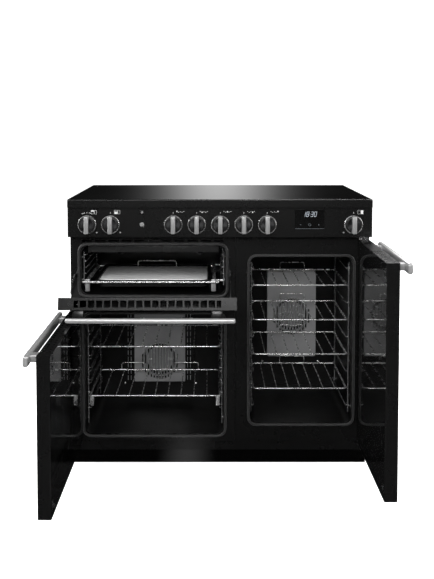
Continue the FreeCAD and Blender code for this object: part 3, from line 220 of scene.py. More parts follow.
def brushedSteel():
    made = newMaterial("brushedSteel", Metallic=1.0, Anisotropic=0.4)
    streaks = noiseOn(made, 60, 6, (0.06, 9, 9))
    colour = rampTo(made, streaks, "Fac", [(0.25, (0.5, 0.505, 0.51)), (0.75, (0.66, 0.665, 0.67))])
    link(made, colour, "Color", shaderOf(made), "Base Color")
    roughnessFrom(made, streaks, 0.22, 0.36)
    bumpFrom(made, streaks, "Fac", 0.00005, 0.3)
    return made


def chromeFinish():
    made = newMaterial("chromeFinish", Metallic=1.0)
    cloud = noiseOn(made, 40, 4)
    colour = rampTo(made, cloud, "Fac", [(0.3, (0.62, 0.62, 0.63)), (0.7, (0.74, 0.74, 0.75))])
    link(made, colour, "Color", shaderOf(made), "Base Color")
    roughnessFrom(made, cloud, 0.12, 0.22)
    return made


def galvanised():
    made = newMaterial("galvanised", Metallic=0.9)
    spangle = addNode(made, "TexVoronoi", Scale=55)
    link(made, placed(made), "Vector", spangle, "Vector")
    colour = rampTo(made, spangle, "Color", [(0.2, (0.34, 0.35, 0.36)), (0.8, (0.5, 0.51, 0.52))])
    link(made, colour, "Color", shaderOf(made), "Base Color")
    roughnessFrom(made, noiseOn(made, 60, 4), 0.35, 0.55)
    return made


def blackPlastic():
    made = newMaterial("blackPlastic", Specular_IOR_Level=0.45)
    grain = noiseOn(made, 1400, 2)
    colour = rampTo(made, grain, "Fac", [(0.3, 0.006), (0.7, 0.011)])
    link(made, colour, "Color", shaderOf(made), "Base Color")
    roughnessFrom(made, grain, 0.3, 0.44)
    bumpFrom(made, grain, "Fac", 0.00003, 0.4)
    return made


def sealBraid():
    made = newMaterial("sealBraid", Specular_IOR_Level=0.4, Sheen_Weight=0.2)
    braid = addNode(made, "TexWave", Scale=260, Distortion=1.2, Detail=2)
    braid.bands_direction = "DIAGONAL"
    link(made, placed(made), "Vector", braid, "Vector")
    colour = rampTo(made, braid, "Fac", [(0.2, 0.008), (0.8, 0.02)])
    link(made, colour, "Color", shaderOf(made), "Base Color")
    roughnessFrom(made, noiseOn(made, 40, 4), 0.32, 0.48)
    bumpFrom(made, braid, "Fac", 0.0002, 0.5)
    return made


def ceramicBoard():
    made = newMaterial("ceramicBoard", Roughness=0.9)
    cloud = noiseOn(made, 130, 5)
    colour = rampTo(made, cloud, "Fac", [(0.3, (0.55, 0.53, 0.49)), (0.7, (0.74, 0.71, 0.66))])
    link(made, colour, "Color", shaderOf(made), "Base Color")
    bumpFrom(made, noiseOn(made, 300, 3), "Fac", 0.0004, 0.5)
    return made


def legendPaint():
    made = newMaterial("legendPaint", Roughness=0.5)
    colour = rampTo(made, noiseOn(made, 900, 2), "Fac", [(0.3, 0.6), (0.7, 0.75)])
    link(made, colour, "Color", shaderOf(made), "Base Color")
    return made


def wireSteel(name, pale):
    # plated wire: part mirror, part pale satin
    made = newMaterial(name, Metallic=0.85, Specular_IOR_Level=0.6)
    cloud = noiseOn(made, 45, 4)
    colour = rampTo(made, cloud, "Fac", [(0.3, pale * 0.85), (0.7, pale)])
    link(made, colour, "Color", shaderOf(made), "Base Color")
    roughnessFrom(made, cloud, 0.2, 0.34)
    return made


def satinSteel(name, pale):
    made = newMaterial(name, Metallic=0.6, Anisotropic=0.3)
    streaks = noiseOn(made, 40, 6, (9, 9, 0.12))
    colour = rampTo(made, streaks, "Fac", [(0.25, pale * 0.86), (0.75, pale)])
    link(made, colour, "Color", shaderOf(made), "Base Color")
    roughnessFrom(made, streaks, 0.24, 0.38)
    bumpFrom(made, streaks, "Fac", 0.00004, 0.3)
    return made


def clockGlow(name, power):
    made = newMaterial(name, Base_Color=(0.05, 0.055, 0.06, 1), Emission_Color=(0.82, 0.9, 1, 1),
                       Emission_Strength=power)
    roughnessFrom(made, noiseOn(made, 300, 2), 0.3, 0.4)
    return made


finishes = {
    "black_enamel": blackEnamel(), "oven_enamel": ovenEnamel(), "grey_enamel": greyEnamel(),
    "black_glass": blackGlass(), "window_glass": windowGlass(), "lamp_glass": lampGlass(),
    "brushed_steel": brushedSteel(), "chrome": chromeFinish(), "galvanised": galvanised(),
    "black_plastic": blackPlastic(), "seal": sealBraid(), "ceramic": ceramicBoard(),
}
brightWire = wireSteel("wireSteel", 0.8)
# the ladders' wire: the same plated wire painted darker, painted shade
paintedShadeWire = wireSteel("paintedShadeWire", 0.42)
gripSteel = satinSteel("gripSteel", 0.46)
handleSteel = satinSteel("handleSteel", 0.5)
spunFace = darkChrome()
trivetFinish = trivetEnamel()
# black enamel painted four times paler: painted light for the grill's deflector, which stands in shade
paintedLightEnamel = blackEnamel("paintedLightEnamel", 4)
legend = legendPaint()
clockLight = clockGlow("clockGlow", 0.85)
dimLight = clockGlow("clockDim", 0.2)

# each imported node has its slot's finish, apart from these
ownFinish = {
    "tall_door_inner": finishes["black_glass"], "grill_door_inner": finishes["black_glass"],
    "base_tray": finishes["black_enamel"], "plinth": glossBlack(),
    "main_fan": gripSteel, "tall_fan": gripSteel,
}
slotOf = {part["node"]: part["material_slot"] for part in frame["record"]["subparts"]}
for name, piece in nodes.items():
    piece.data.materials.clear()
    piece.data.materials.append(ownFinish.get(name, finishes[slotOf[name]]))
print("finishes on the packed nodes")


# making pieces: all at the origin, with their place in the mesh

smoothBelow = math.radians(35)  # edges that turn more than this stay sharp
mergeWithin = 1e-6


def dress(piece, body, finish, replaced=()):
    piece.data.materials.append(finish)
    bpy.context.collection.objects.link(piece)
    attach(piece, body)
    if replaced:
        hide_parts(*replaced)


def newPiece(name, bm, body, slot, replaced=(), finish=None):
    bmesh.ops.recalc_face_normals(bm, faces=bm.faces)
    mesh = bpy.data.meshes.new(name)
    bm.to_mesh(mesh)
    bm.free()
    mesh.shade_smooth()
    mesh.set_sharp_from_angle(angle=smoothBelow)
    dress(bpy.data.objects.new(name, mesh), body, finish or finishes[slot], replaced)


def block(bm, low, high, soft=0.0, steps=3):
    # a box between two corners, its edges rounded by soft
    low, high = Vector(low), Vector(high)
    size = Matrix.Diagonal((*(high - low), 1))
    made = bmesh.ops.create_cube(bm, size=1, matrix=Matrix.Translation((low + high) / 2) @ size)
    if soft:
        edges = {edge for vert in made["verts"] for edge in vert.link_edges}
        made = bmesh.ops.bevel(bm, geom=list(edges), offset=soft, segments=steps, affect="EDGES", profile=0.5,
                               material=-1, clamp_overlap=True)
    return made["verts"]


def turned(bm, middle, profile, steps=48):
    # profile holds (radius, distance to the front) pairs, spun about the Y axis through middle
    verts = [bm.verts.new(middle + Vector((radius, -out, 0))) for radius, out in profile]
    edges = [bm.edges.new(pair) for pair in zip(verts, verts[1:])]
    bmesh.ops.spin(bm, geom=verts + edges, cent=middle, axis=(0, 1, 0), dvec=(0, 0, 0), steps=steps,
                   angle=2 * math.pi, use_merge=True, use_duplicate=False)
    bmesh.ops.remove_doubles(bm, verts=bm.verts, dist=mergeWithin)


def bent(points, radius, steps=4, closed=False):
    # the run of points with each corner turned in a round bend
    points = [Vector(point) for point in points]
    count = len(points)
    made = []
    for n, point in enumerate(points):
        if not closed and n in (0, count - 1):
            made.append(point)
            continue
        before, after = points[n - 1] - point, points[(n + 1) % count] - point
        reach = min(radius, before.length / 2, after.length / 2)
        start, end = point + before.normalized() * reach, point + after.normalized() * reach
        for k in range(steps + 1):
            t = k / steps
            made.append(start * (1 - t) ** 2 + point * 2 * t * (1 - t) + end * t ** 2)
    return made


def wires(name, body, slot, runs, replaced=(), finish=None, sides=2):
    # runs holds (radius, points, closed)
    data = bpy.data.curves.new(name, "CURVE")
    data.dimensions = "3D"
    data.bevel_depth = 1
    data.bevel_resolution = sides
    data.use_fill_caps = True
    for radius, points, closed in runs:
        spline = data.splines.new("POLY")
        spline.points.add(len(points) - 1)
        for target, point in zip(spline.points, points):
            target.co = (*point, 1)
            target.radius = radius
        spline.use_cyclic_u = closed
    dress(bpy.data.objects.new(name, data), body, finish or finishes[slot], replaced)


# places that several pieces share, in metres

panelFront, rearWall = -0.292, 0.147
knobZ = 0.8215
knobX = {name: (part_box(name)[0][0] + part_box(name)[1][0]) / 2
         for name in nodes if name.startswith("knob_") and name != "knob_bezels"}
switchX = (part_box("light_button")[0][0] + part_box("light_button")[1][0]) / 2
shelfLevel = {
    "main_shelf_upper": 0.401, "main_shelf_lower": 0.233,
    "tall_shelf_1": 0.6099, "tall_shelf_2": 0.4926, "tall_shelf_3": 0.3753, "tall_shelf_4": 0.258,
}
ovenRooms = {  # left, right, floor and roof
    "main": (-0.451, 0.013, 0.1085, 0.515),
    "tall": (0.102, 0.442, 0.147, 0.708),
    "grill": (-0.463, 0.019, 0.582, 0.746),
}
ladderPosts = {"in": 0.005, "front": -0.215, "back": 0.085}
grillRails = {"middle": -0.232, "out": 0.211, "z": 0.622}


# knobs with their bezels

def knobs():
    size = {"skirt": 0.027, "face": 0.0215, "deep": 0.0105, "gap": 0.0008, "backIn": 0.0012,
            "backRise": 0.001, "round": 0.0022, "roundMiddle": 0.0007, "dish": 0.0012, "dishIn": 0.0006}
    disc = {"in": 0.0008, "back": 0.0014, "edge": 0.0004, "crown": 0.0002}
    grip = {"wide": 0.0142, "long": 0.0565, "proud": 0.028, "sunk": 0.002, "soft": 0.0028, "softSteps": 4}
    ring = {"in": 0.0275, "out": 0.0300, "proud": 0.0050, "soft": 0.0006, "edge": 0.001, "fall": 0.0012,
            "steps": 64}
    skirt, face, deep, gap = (size[key] for key in ("skirt", "face", "deep", "gap"))
    for name, x in knobX.items():
        low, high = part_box(name)
        middle = Vector((x, panelFront, (low[2] + high[2]) / 2))
        bm = bmesh.new()
        turned(bm, middle, [
            (0, gap), (skirt - size["backIn"], gap), (skirt, gap + size["backRise"]),
            (skirt, deep - size["round"]), (skirt - size["roundMiddle"], deep - size["roundMiddle"]),
            (skirt - size["round"], deep), (face, deep), (face - size["dishIn"], deep - size["dish"]),
            (0, deep - size["dish"]),
        ])
        newPiece(name + "_skirt", bm, name, "black_plastic", [name])
        bm = bmesh.new()
        rim = face - disc["in"]
        turned(bm, middle, [(0, deep - disc["back"]), (rim, deep - disc["back"]), (rim, deep - disc["edge"]),
                            (0, deep - disc["crown"])])
        newPiece(name + "_face", bm, name, "black_plastic", finish=spunFace)
        bm = bmesh.new()
        block(bm, middle + Vector((-grip["wide"] / 2, -grip["proud"], -grip["long"] / 2)),
              middle + Vector((grip["wide"] / 2, grip["sunk"] - deep, grip["long"] / 2)),
              grip["soft"], grip["softSteps"])
        newPiece(name + "_grip", bm, name, "brushed_steel", finish=gripSteel)
        bm = bmesh.new()
        turned(bm, middle, [
            (ring["in"], 0), (ring["in"], ring["proud"] - ring["soft"]),
            (ring["in"] + ring["soft"], ring["proud"]), (ring["out"] - ring["edge"], ring["proud"]),
            (ring["out"], ring["proud"] - ring["fall"]), (ring["out"], 0), (ring["in"], 0),
        ], ring["steps"])
        newPiece(name.replace("knob", "bezel"), bm, "cooker", "chrome", ["knob_bezels"], finish=brightWire)


def lightSwitch():
    size = {"radius": 0.0056, "proud": 0.003, "long": 0.0085, "soft": 0.0012, "steps": 32}
    ring = {"in": 0.0061, "out": 0.0075, "proud": 0.0022}
    low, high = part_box("light_button")
    middle = Vector((switchX, panelFront, (low[2] + high[2]) / 2))
    bm = bmesh.new()
    turned(bm, middle, [
        (0, -size["long"]), (size["radius"], -size["long"]), (size["radius"], size["proud"] - size["soft"]),
        (size["radius"] - size["soft"], size["proud"]), (0, size["proud"]),
    ], size["steps"])
    newPiece("light_button_cap", bm, "light_button", "chrome", ["light_button"], finish=gripSteel)
    bm = bmesh.new()
    turned(bm, middle, [(ring["in"], 0), (ring["in"], ring["proud"]), (ring["out"], ring["proud"]),
                        (ring["out"], 0), (ring["in"], 0)], size["steps"])
    newPiece("light_button_ring", bm, "cooker", "chrome", ["knob_bezels"], finish=brightWire)


# pale marks on the panel, and the clock

def panelMarks():
    # a tick over each knob, five dots for a zone, three windows for an oven, a bulb over the light's button
    size = {"proud": 0.00025, "line": 0.0006, "tick": 0.0011, "tickTall": 0.0042, "tickUp": 0.0385,
            "iconUp": 0.0415, "iconAside": 0.0235, "ovenUp": 0.001, "cell": 0.0062}
    dots = {"wide": 0.0024, "step": 0.0056, "chosen": 1.45, "other": 0.75,
            "zones": ((-2, 0.7), (-1, -0.4), (0, 0.3), (1, -0.4), (2, 0.7))}
    scale = {"out": 0.008, "step": 0.0036, "down": 0.0003, "fall": 0.0013, "wide": 0.0022, "tall": 0.0016}
    bulb = {"wide": 0.0052, "footDown": 0.0044, "footWide": 0.0026, "footTall": 0.0012}
    windows = {  # across, up, width and height, counted in cells
        "knob_grill": (-0.8, 0.35, 1.6, 0.7),
        "knob_main_oven": (-0.8, -0.6, 1.6, 1.2),
        "knob_tall_oven": (0.75, -0.25, 1.1, 1.9),
    }
    bm = bmesh.new()

    def mark(x, z, wide, tall):
        block(bm, (x - wide / 2, panelFront - size["proud"], z - tall / 2),
              (x + wide / 2, panelFront, z + tall / 2))

    def outline(x, z, wide, tall):
        for side in (-1, 1):
            mark(x + side * wide / 2, z, size["line"], tall)
            mark(x, z + side * tall / 2, wide, size["line"])

    for name, x in knobX.items():
        mark(x, knobZ + size["tickUp"], size["tick"], size["tickTall"])
        if "zone" in name:
            chosen = int(name[-1]) - 1
            for n, (across, up) in enumerate(dots["zones"]):
                wide = dots["wide"] * (dots["chosen"] if n == chosen else dots["other"])
                mark(x + size["iconAside"] + across * dots["step"],
                     knobZ + size["iconUp"] + up * dots["wide"], wide, wide)
    cell = size["cell"]
    for name in windows:
        x, z = knobX[name] + size["iconAside"], knobZ + size["iconUp"] + size["ovenUp"]
        for across, up, wide, tall in windows.values():
            outline(x + cell * across, z + cell * up, cell * wide, cell * tall)
        across, up, wide, tall = windows[name]
        mark(x + cell * across, z + cell * up, cell * wide, cell * tall)
    for side in (-1, 1):
        for n in range(3):
            mark(knobX["knob_grill"] + side * (scale["out"] + n * scale["step"]),
                 knobZ + size["tickUp"] - scale["down"] - n * scale["fall"], scale["wide"], scale["tall"])
    outline(switchX, knobZ + size["iconUp"], bulb["wide"], bulb["wide"])
    mark(switchX, knobZ + size["iconUp"] - bulb["footDown"], bulb["footWide"], bulb["footTall"])
    newPiece("panel_marks", bm, "cooker", None, finish=legend)


def clock():
    # 18:30 in leaning digits of seven bars, with three touch marks and a line under them
    size = {"tall": 0.0155, "wide": 0.0066, "line": 0.0010, "step": 0.0110, "lean": 0.2, "up": 0.0171,
            "proud": 0.0002, "left": -0.0175, "pause": 0.003, "colonUp": 0.0028}
    touch = {"down": 0.0176, "out": 0.030, "half": 0.0021, "thin": 0.0004, "plus": 0.0042, "ring": 0.0026,
             "ringNear": 0.0030, "ringFar": 0.0037}
    base = {"in": 0.005, "low": 0.0048, "top": 0.0054}
    low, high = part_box("display_glass")
    tall, wide, line, proud = (size[key] for key in ("tall", "wide", "line", "proud"))
    front = low[1] - proud
    middle = Vector(((low[0] + high[0]) / 2, front, (low[2] + high[2]) / 2))
    bars = {
        "a": (0, tall / 2, wide, line), "g": (0, 0, wide, line), "d": (0, -tall / 2, wide, line),
        "f": (-wide / 2, tall / 4, line, tall / 2), "b": (wide / 2, tall / 4, line, tall / 2),
        "e": (-wide / 2, -tall / 4, line, tall / 2), "c": (wide / 2, -tall / 4, line, tall / 2),
    }
    bm = bmesh.new()

    def bar(x, z, width, height):
        block(bm, (x - width / 2, 0, z - height / 2), (x + width / 2, proud, z + height / 2))

    for n, lit in enumerate(("bc", "abcdefg", "abgcd", "abcdef")):
        shift = size["left"] + n * size["step"] + (size["pause"] if n > 1 else 0)
        for key in lit:
            x, z, width, height = bars[key]
            bar(shift + x, z, width, height)
    for z in (-size["colonUp"], size["colonUp"]):
        bar(size["left"] + size["step"] * 1.5 + size["pause"] / 2, z, line, line)
    for vert in bm.verts:
        vert.co.x += vert.co.z * size["lean"]
    bmesh.ops.translate(bm, verts=bm.verts, vec=middle + Vector((0, 0, size["up"])))
    newPiece("clock_digits", bm, "cooker", None, finish=clockLight)
    bm = bmesh.new()
    z, half, thin, upright = middle.z - touch["down"], touch["half"], touch["thin"], touch["plus"] / 2
    for side in (-1, 1):
        x = middle.x + side * touch["out"]
        block(bm, (x - half, front, z - thin), (x + half, front + proud, z + thin))
        if side > 0:  # a plus on the right, a minus on the left
            block(bm, (x - thin, front, z - upright), (x + thin, front + proud, z + upright))
    for turn in range(4):
        edge = block(bm, (-touch["ring"], front, touch["ringNear"]),
                     (touch["ring"], front + proud, touch["ringFar"]))
        spin = Matrix.Translation((middle.x, 0, z)) @ Matrix.Rotation(math.radians(45 + 90 * turn), 4, "Y")
        bmesh.ops.transform(bm, matrix=spin, verts=edge)
    block(bm, (low[0] + base["in"], front, low[2] + base["low"]),
          (high[0] - base["in"], front + proud, low[2] + base["top"]))
    newPiece("clock_marks", bm, "cooker", None, finish=dimLight)


# wire shelves, ladders and the grill's carriage

def shelfWires(name, bars, stops, plates):
    # a frame of thick wire, thin bars across it, raised stops at its back, and plates at its front corners
    size = {"thick": 0.0024, "thin": 0.0014, "bend": 0.012, "front": 0.001 if plates else 0.0021,
            "stopWide": 0.09, "stopTall": 0.027, "stopApart": 0.196, "stopBend": 0.008}
    plate = {"wide": 0.013, "thick": 0.002, "low": 0.033, "top": 0.001, "soft": 0.0006}
    low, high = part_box(name)
    thick, thin = size["thick"], size["thin"]
    left, right = low[0] + thick, high[0] - thick
    front, back = low[1] + size["front"] + thick, high[1] - thick
    level = shelfLevel[name]
    corners = [(left, front, level), (right, front, level), (right, back, level), (left, back, level)]
    runs = [(thick, bent(corners, size["bend"], closed=True), True)]
    step = (right - left) / (bars + 1)
    for n in range(bars):
        x = left + step * (n + 1)
        runs.append((thin, [(x, front, level), (x, back, level)], False))
    middle, half, top = (left + right) / 2, size["stopWide"] / 2, level + size["stopTall"]
    for n in range(stops):
        x = middle + size["stopApart"] * (n - (stops - 1) / 2)
        stop = [(x - half, back, level), (x - half, back, top),
                (x + half, back, top), (x + half, back, level)]
        runs.append((thin, bent(stop, size["stopBend"]), False))
    wires(name + "_wires", name, "chrome", runs, [name], finish=brightWire)
    if plates:
        for hand, x in (("left", left), ("right", right - plate["wide"])):
            bm = bmesh.new()
            block(bm, (x, front - thick, level - plate["low"]),
                  (x + plate["wide"], front - thick + plate["thick"], level + plate["top"]), plate["soft"], 2)
            newPiece(f"{name}_plate_{hand}", bm, name, "chrome", finish=brightWire)


def ladders():
    # on each wall two posts, held at both ends, and the rungs that carry the shelves
    size = {"post": 0.0022, "rung": 0.0015, "rungIn": 0.013, "end": 0.044, "foot": 0.020, "apart": 0.0054,
            "bend": 0.004, "mainStep": 0.042, "tallStep": 0.05865, "grillLow": 0.625, "grillStep": 0.021}
    mainLow, tallLow = shelfLevel["main_shelf_lower"], shelfLevel["tall_shelf_4"]
    levels = {
        "main": [mainLow + size["mainStep"] * n + side * size["apart"]
                 for n in range(-1, 6) for side in (-1, 1)],
        "tall": [tallLow + size["tallStep"] * n - size["apart"] for n in range(-1, 8)],
        "grill": [size["grillLow"] + size["grillStep"] * n for n in range(5)],
    }
    front, back = ladderPosts["front"], ladderPosts["back"]
    runs = []
    for which, (left, right, low, high) in ovenRooms.items():
        bottom, top = low + size["end"], high - size["end"]
        for wall, inward in ((left, 1), (right, -1)):
            post, rung = wall + inward * ladderPosts["in"], wall + inward * size["rungIn"]
            for y in (front, back):
                foot, head = (post, y, bottom - size["foot"]), (post, y, top + size["foot"])
                runs.append((size["post"], [(wall, y, bottom), (post, y, bottom), foot], False))
                runs.append((size["post"], [foot, head], False))
                runs.append((size["post"], [(wall, y, top), (post, y, top)], False))
            for z in levels[which]:
                path = [(post, front, z), (rung, front, z), (rung, back, z), (post, back, z)]
                runs.append((size["rung"], bent(path, size["bend"]), False))
    # the posts and rungs take the plated wire painted darker: painted shade
    wires("ladder_wires", "cooker", "chrome", runs, ["shelf_ladders"], finish=paintedShadeWire)


def grillRunners():
    # the fixed runners beside the carriage, their arms from the posts, and the plates at their front ends
    size = {"gap": 0.0028, "thick": 0.005, "half": 0.007, "front": -0.240, "back": 0.088, "soft": 0.0008,
            "arm": 0.003, "armSoft": 0.001}
    plate = {"out": 0.0078, "wide": 0.015, "front": -0.2401, "thick": 0.002, "low": 0.590, "top": 0.6305,
             "soft": 0.0006}
    middle, z, arm = grillRails["middle"], grillRails["z"], size["arm"]
    left, right = ovenRooms["grill"][:2]
    bm = bmesh.new()
    for hand, wall in ((-1, left), (1, right)):
        near = middle + hand * (grillRails["out"] + size["gap"])
        far = near + hand * size["thick"]
        block(bm, (min(near, far), size["front"], z - size["half"]),
              (max(near, far), size["back"], z + size["half"]), size["soft"], 2)
        post = wall - hand * ladderPosts["in"]
        for y in (ladderPosts["front"], ladderPosts["back"]):
            block(bm, (min(post, far), y - arm, z - arm), (max(post, far), y + arm, z + arm),
                  size["armSoft"], 2)
    newPiece("grill_runners", bm, "cooker", "chrome", finish=brightWire)
    bm = bmesh.new()
    for hand in (-1, 1):
        far = middle + hand * (grillRails["out"] + plate["out"])
        near = far - hand * plate["wide"]
        block(bm, (min(far, near), plate["front"], plate["low"]),
              (max(far, near), plate["front"] + plate["thick"], plate["top"]), plate["soft"], 2)
    newPiece("grill_runner_ends", bm, "cooker", "chrome", finish=gripSteel)


def carriage():
    # two bars from side to side, and a pair of rails on each side between them
    size = {"bar": 0.0038, "rail": 0.0024, "pair": 0.0025, "in": 0.004, "sides": 3}
    low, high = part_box("grill_carriage")
    middle, out, z = grillRails["middle"], grillRails["out"], grillRails["z"]
    front, back = low[1] + size["in"], high[1] - size["in"]
    runs = [(size["bar"], [(low[0], front, z), (high[0], front, z)], False)]
    for x in (middle - out, middle + out):
        for level in (z, z - size["pair"]):
            runs.append((size["rail"], [(x, front, level), (x, back, level)], False))
    runs.append((size["bar"], [(middle - out, back, z), (middle + out, back, z)], False))
    wires("carriage_wires", "grill_pull_out", "chrome", runs, ["grill_carriage"], finish=brightWire,
          sides=size["sides"])


def doorSeals():
    size = {"radius": 0.0042, "front": -0.253, "out": 0.0058, "bend": 0.030, "bendSteps": 10, "sides": 4}
    out, y = size["out"], size["front"] - size["radius"]
    runs = []
    for left, right, low, high in ovenRooms.values():
        corners = [(left - out, y, low - out), (right + out, y, low - out), (right + out, y, high + out),
                   (left - out, y, high + out)]
        runs.append((size["radius"], bent(corners, size["bend"], size["bendSteps"], True), True))
    wires("oven_seals", "cooker", "seal", runs, ["door_seals"], sides=size["sides"])


# the doors' pieces are made as if shut, measured from the hinge, then swung to the open rest pose

doorHinges = {  # place, angle in the rest pose and axis
    "main": ((-0.478, -0.281, 0.087), -90, "Z"),
    "tall": ((0.478, -0.281, 0.087), 90, "Z"),
    "grill": ((-0.2235, -0.281, 0.555), 77, "X"),
}
doorPlaces = {which: Matrix.Translation(place) @ Matrix.Rotation(math.radians(angle), 4, axis)
              for which, (place, angle, axis) in doorHinges.items()}
doorSpans = {  # left, right and top
    "main": (-0.019, 0.528, 0.446),
    "tall": (-0.4248, 0.019, 0.679),
    "grill": (-0.2735, 0.2735, 0.211),
}


def handle(which):
    # a flat bar on two stems
    bar = {"in": 0.013, "off": 0.043, "thick": 0.016, "tall": 0.031, "drop": 0.0185, "soft": 0.0065,
           "softSteps": 5, "aside": 0.009 if which == "grill" else 0}
    stem = {"in": 0.061, "wide": 0.035, "tall": 0.020, "sunk": 0.003, "foot": 0.0191, "soft": 0.003}
    left, right, top = doorSpans[which]
    z = top - bar["drop"]
    bm = bmesh.new()
    block(bm, (left + bar["in"] + bar["aside"], -bar["off"] - bar["thick"], z - bar["tall"] / 2),
          (right - bar["in"] + bar["aside"], -bar["off"], z + bar["tall"] / 2), bar["soft"], bar["softSteps"])
    bmesh.ops.transform(bm, matrix=doorPlaces[which], verts=bm.verts)
    newPiece(which + "_handle_bar", bm, which + "_door", "brushed_steel", [which + "_door_handle"],
             finish=handleSteel)
    bm = bmesh.new()
    for x in (left + stem["in"], right - stem["in"]):
        block(bm, (x - stem["wide"] / 2, -bar["off"] - stem["sunk"], z - stem["tall"] / 2),
              (x + stem["wide"] / 2, -stem["foot"], z + stem["tall"] / 2), stem["soft"])
    bmesh.ops.transform(bm, matrix=doorPlaces[which], verts=bm.verts)
    finish = finishes["black_enamel"] if which == "grill" else handleSteel
    newPiece(which + "_handle_stems", bm, which + "_door", "brushed_steel", finish=finish)


def grillDoorScrews():
    # a ring and a small head at each end of the grill door's top
    size = {"apart": 0.2365, "top": 0.2111, "ring": 0.0072, "rim": 0.0012, "ringTall": 0.0007, "head": 0.0032,
            "headTall": 0.0010, "soft": 0.0004, "softFrom": 0.6, "steps": 28}
    turns = ((size["ring"] - size["rim"], size["ring"], size["ringTall"]),
             (0, size["head"], size["headTall"]))
    for n, x in enumerate((-size["apart"], size["apart"])):
        bm = bmesh.new()
        for inner, outer, tall in turns:
            profile = ((inner, 0), (outer, 0), (outer, tall * size["softFrom"]),
                       (outer - size["soft"], tall), (inner, tall))
            verts = [bm.verts.new((x + radius, 0, size["top"] + up)) for radius, up in profile]
            edges = [bm.edges.new(pair) for pair in zip(verts, verts[1:] + ([verts[0]] if inner else []))]
            bmesh.ops.spin(bm, geom=verts + edges, cent=(x, 0, 0), axis=(0, 0, 1), dvec=(0, 0, 0),
                           steps=size["steps"], angle=2 * math.pi, use_merge=True, use_duplicate=False)
        bmesh.ops.remove_doubles(bm, verts=bm.verts, dist=mergeWithin)
        bmesh.ops.transform(bm, matrix=doorPlaces["grill"], verts=bm.verts)
        newPiece(f"grill_door_screw_{n + 1}", bm, "grill_door", "chrome", finish=spunFace)


# inside the ovens

def trivet():
    # the light sheet in the pan, on its folded edges, with two raised tabs and the rear loop
    size = {"left": -0.408, "right": -0.042, "front": -0.226, "back": 0.046, "top": 0.6235, "sheet": 0.0016,
            "soft": 0.0005, "foot": 0.6082, "footSoft": 0.0004, "border": 0.016, "raised": 0.0012,
            "raisedSoft": 0.0010}
    tab = {"wide": 0.058, "apart": 0.166, "tall": 0.005, "deep": 0.010, "out": 0.001, "in": 0.003,
           "soft": 0.0006}
    loop = {"middle": -0.2275, "wide": 0.142, "top": 0.645, "wire": 0.0021, "in": 0.004, "sunk": 0.001,
            "bend": 0.010, "bendSteps": 6}
    left, right, front, back, top, sheet, border = (
        size[key] for key in ("left", "right", "front", "back", "top", "sheet", "border"))
    bm = bmesh.new()
    block(bm, (left, front, top - sheet), (right, back, top), size["soft"], 2)
    for low, high in (((left, front), (left + sheet, back)), ((right - sheet, front), (right, back)),
                      ((left, front), (right, front + sheet)), ((left, back - sheet), (right, back))):
        block(bm, (*low, size["foot"]), (*high, top - sheet / 2), size["footSoft"], 1)
    block(bm, (left + border, front + border, top - sheet / 2),
          (right - border, back - border, top + size["raised"]), size["raisedSoft"])
    newPiece("trivet_sheet", bm, "grill_pull_out", "grey_enamel", ["grill_trivet"], finish=trivetFinish)
    middle, half = (left + right) / 2, tab["wide"] / 2
    for hand, x in (("left", middle - tab["apart"] / 2), ("right", middle + tab["apart"] / 2)):
        bm = bmesh.new()
        block(bm, (x - half, front - tab["out"], top - sheet), (x + half, front + sheet, top + tab["tall"]),
              tab["soft"], 2)
        block(bm, (x - half + tab["in"], front, top + tab["tall"] - sheet),
              (x + half - tab["in"], front + tab["deep"], top + tab["tall"]), tab["soft"], 2)
        newPiece("trivet_tab_" + hand, bm, "grill_pull_out", "grey_enamel", finish=trivetFinish)
    x, y, half, foot = loop["middle"], back - loop["in"], loop["wide"] / 2, top - loop["sunk"]
    path = [(x - half, y, foot), (x - half, y, loop["top"]), (x + half, y, loop["top"]), (x + half, y, foot)]
    wires("trivet_loop", "grill_pull_out", "chrome",
          [(loop["wire"], bent(path, loop["bend"], loop["bendSteps"]), False)], finish=brightWire)


def grillDeflector():
    # the sheet that hangs at the front of the roof, with a lip turned back under it
    size = {"left": -0.440, "right": -0.004, "front": -0.2405, "sheet": 0.0016, "low": 0.7215, "top": 0.7452,
            "lip": 0.012, "soft": 0.0006}
    left, right, front, low, sheet = (size[key] for key in ("left", "right", "front", "low", "sheet"))
    bm = bmesh.new()
    block(bm, (left, front, low), (right, front + sheet, size["top"]), size["soft"], 2)
    block(bm, (left, front, low), (right, front + size["lip"], low + sheet), size["soft"], 2)
    # its finish is black enamel painted paler: painted light where the front of the grill's roof is in shade
    newPiece("grill_deflector", bm, "cooker", "oven_enamel", finish=paintedLightEnamel)


def grillLamps():
    # two domed lenses on the rear wall, in their rings
    lens = {"z": 0.676, "x": (-0.3746, -0.071), "radius": 0.019, "back": 0.003, "dome": 0.009, "domeSteps": 7}
    ring = {"out": 0.0235, "edge": 0.005, "top": 0.0065, "softIn": 0.0015, "softOut": 0.001, "steps": 40}
    radius, out = lens["radius"], ring["out"]
    for n, x in enumerate(lens["x"]):
        middle = Vector((x, rearWall, lens["z"]))
        bm = bmesh.new()
        turned(bm, middle, [
            (radius, 0), (radius, ring["edge"]), (radius + ring["softIn"], ring["top"]),
            (out - ring["softOut"], ring["top"]), (out, ring["edge"]), (out, 0), (radius, 0),
        ], ring["steps"])
        newPiece(f"grill_lamp_ring_{n + 1}", bm, "cooker", "chrome", finish=spunFace)
        bm = bmesh.new()
        turns = [math.radians(90 * k / lens["domeSteps"]) for k in range(lens["domeSteps"] + 1)]
        dome = [(radius * math.cos(turn), lens["back"] + lens["dome"] * math.sin(turn)) for turn in turns]
        turned(bm, middle, dome + [(0, lens["back"])], ring["steps"])
        newPiece(f"grill_lamp_{n + 1}", bm, "cooker", "lamp_glass", ["lamp_lenses"],
                 finish=finishes["black_glass"])


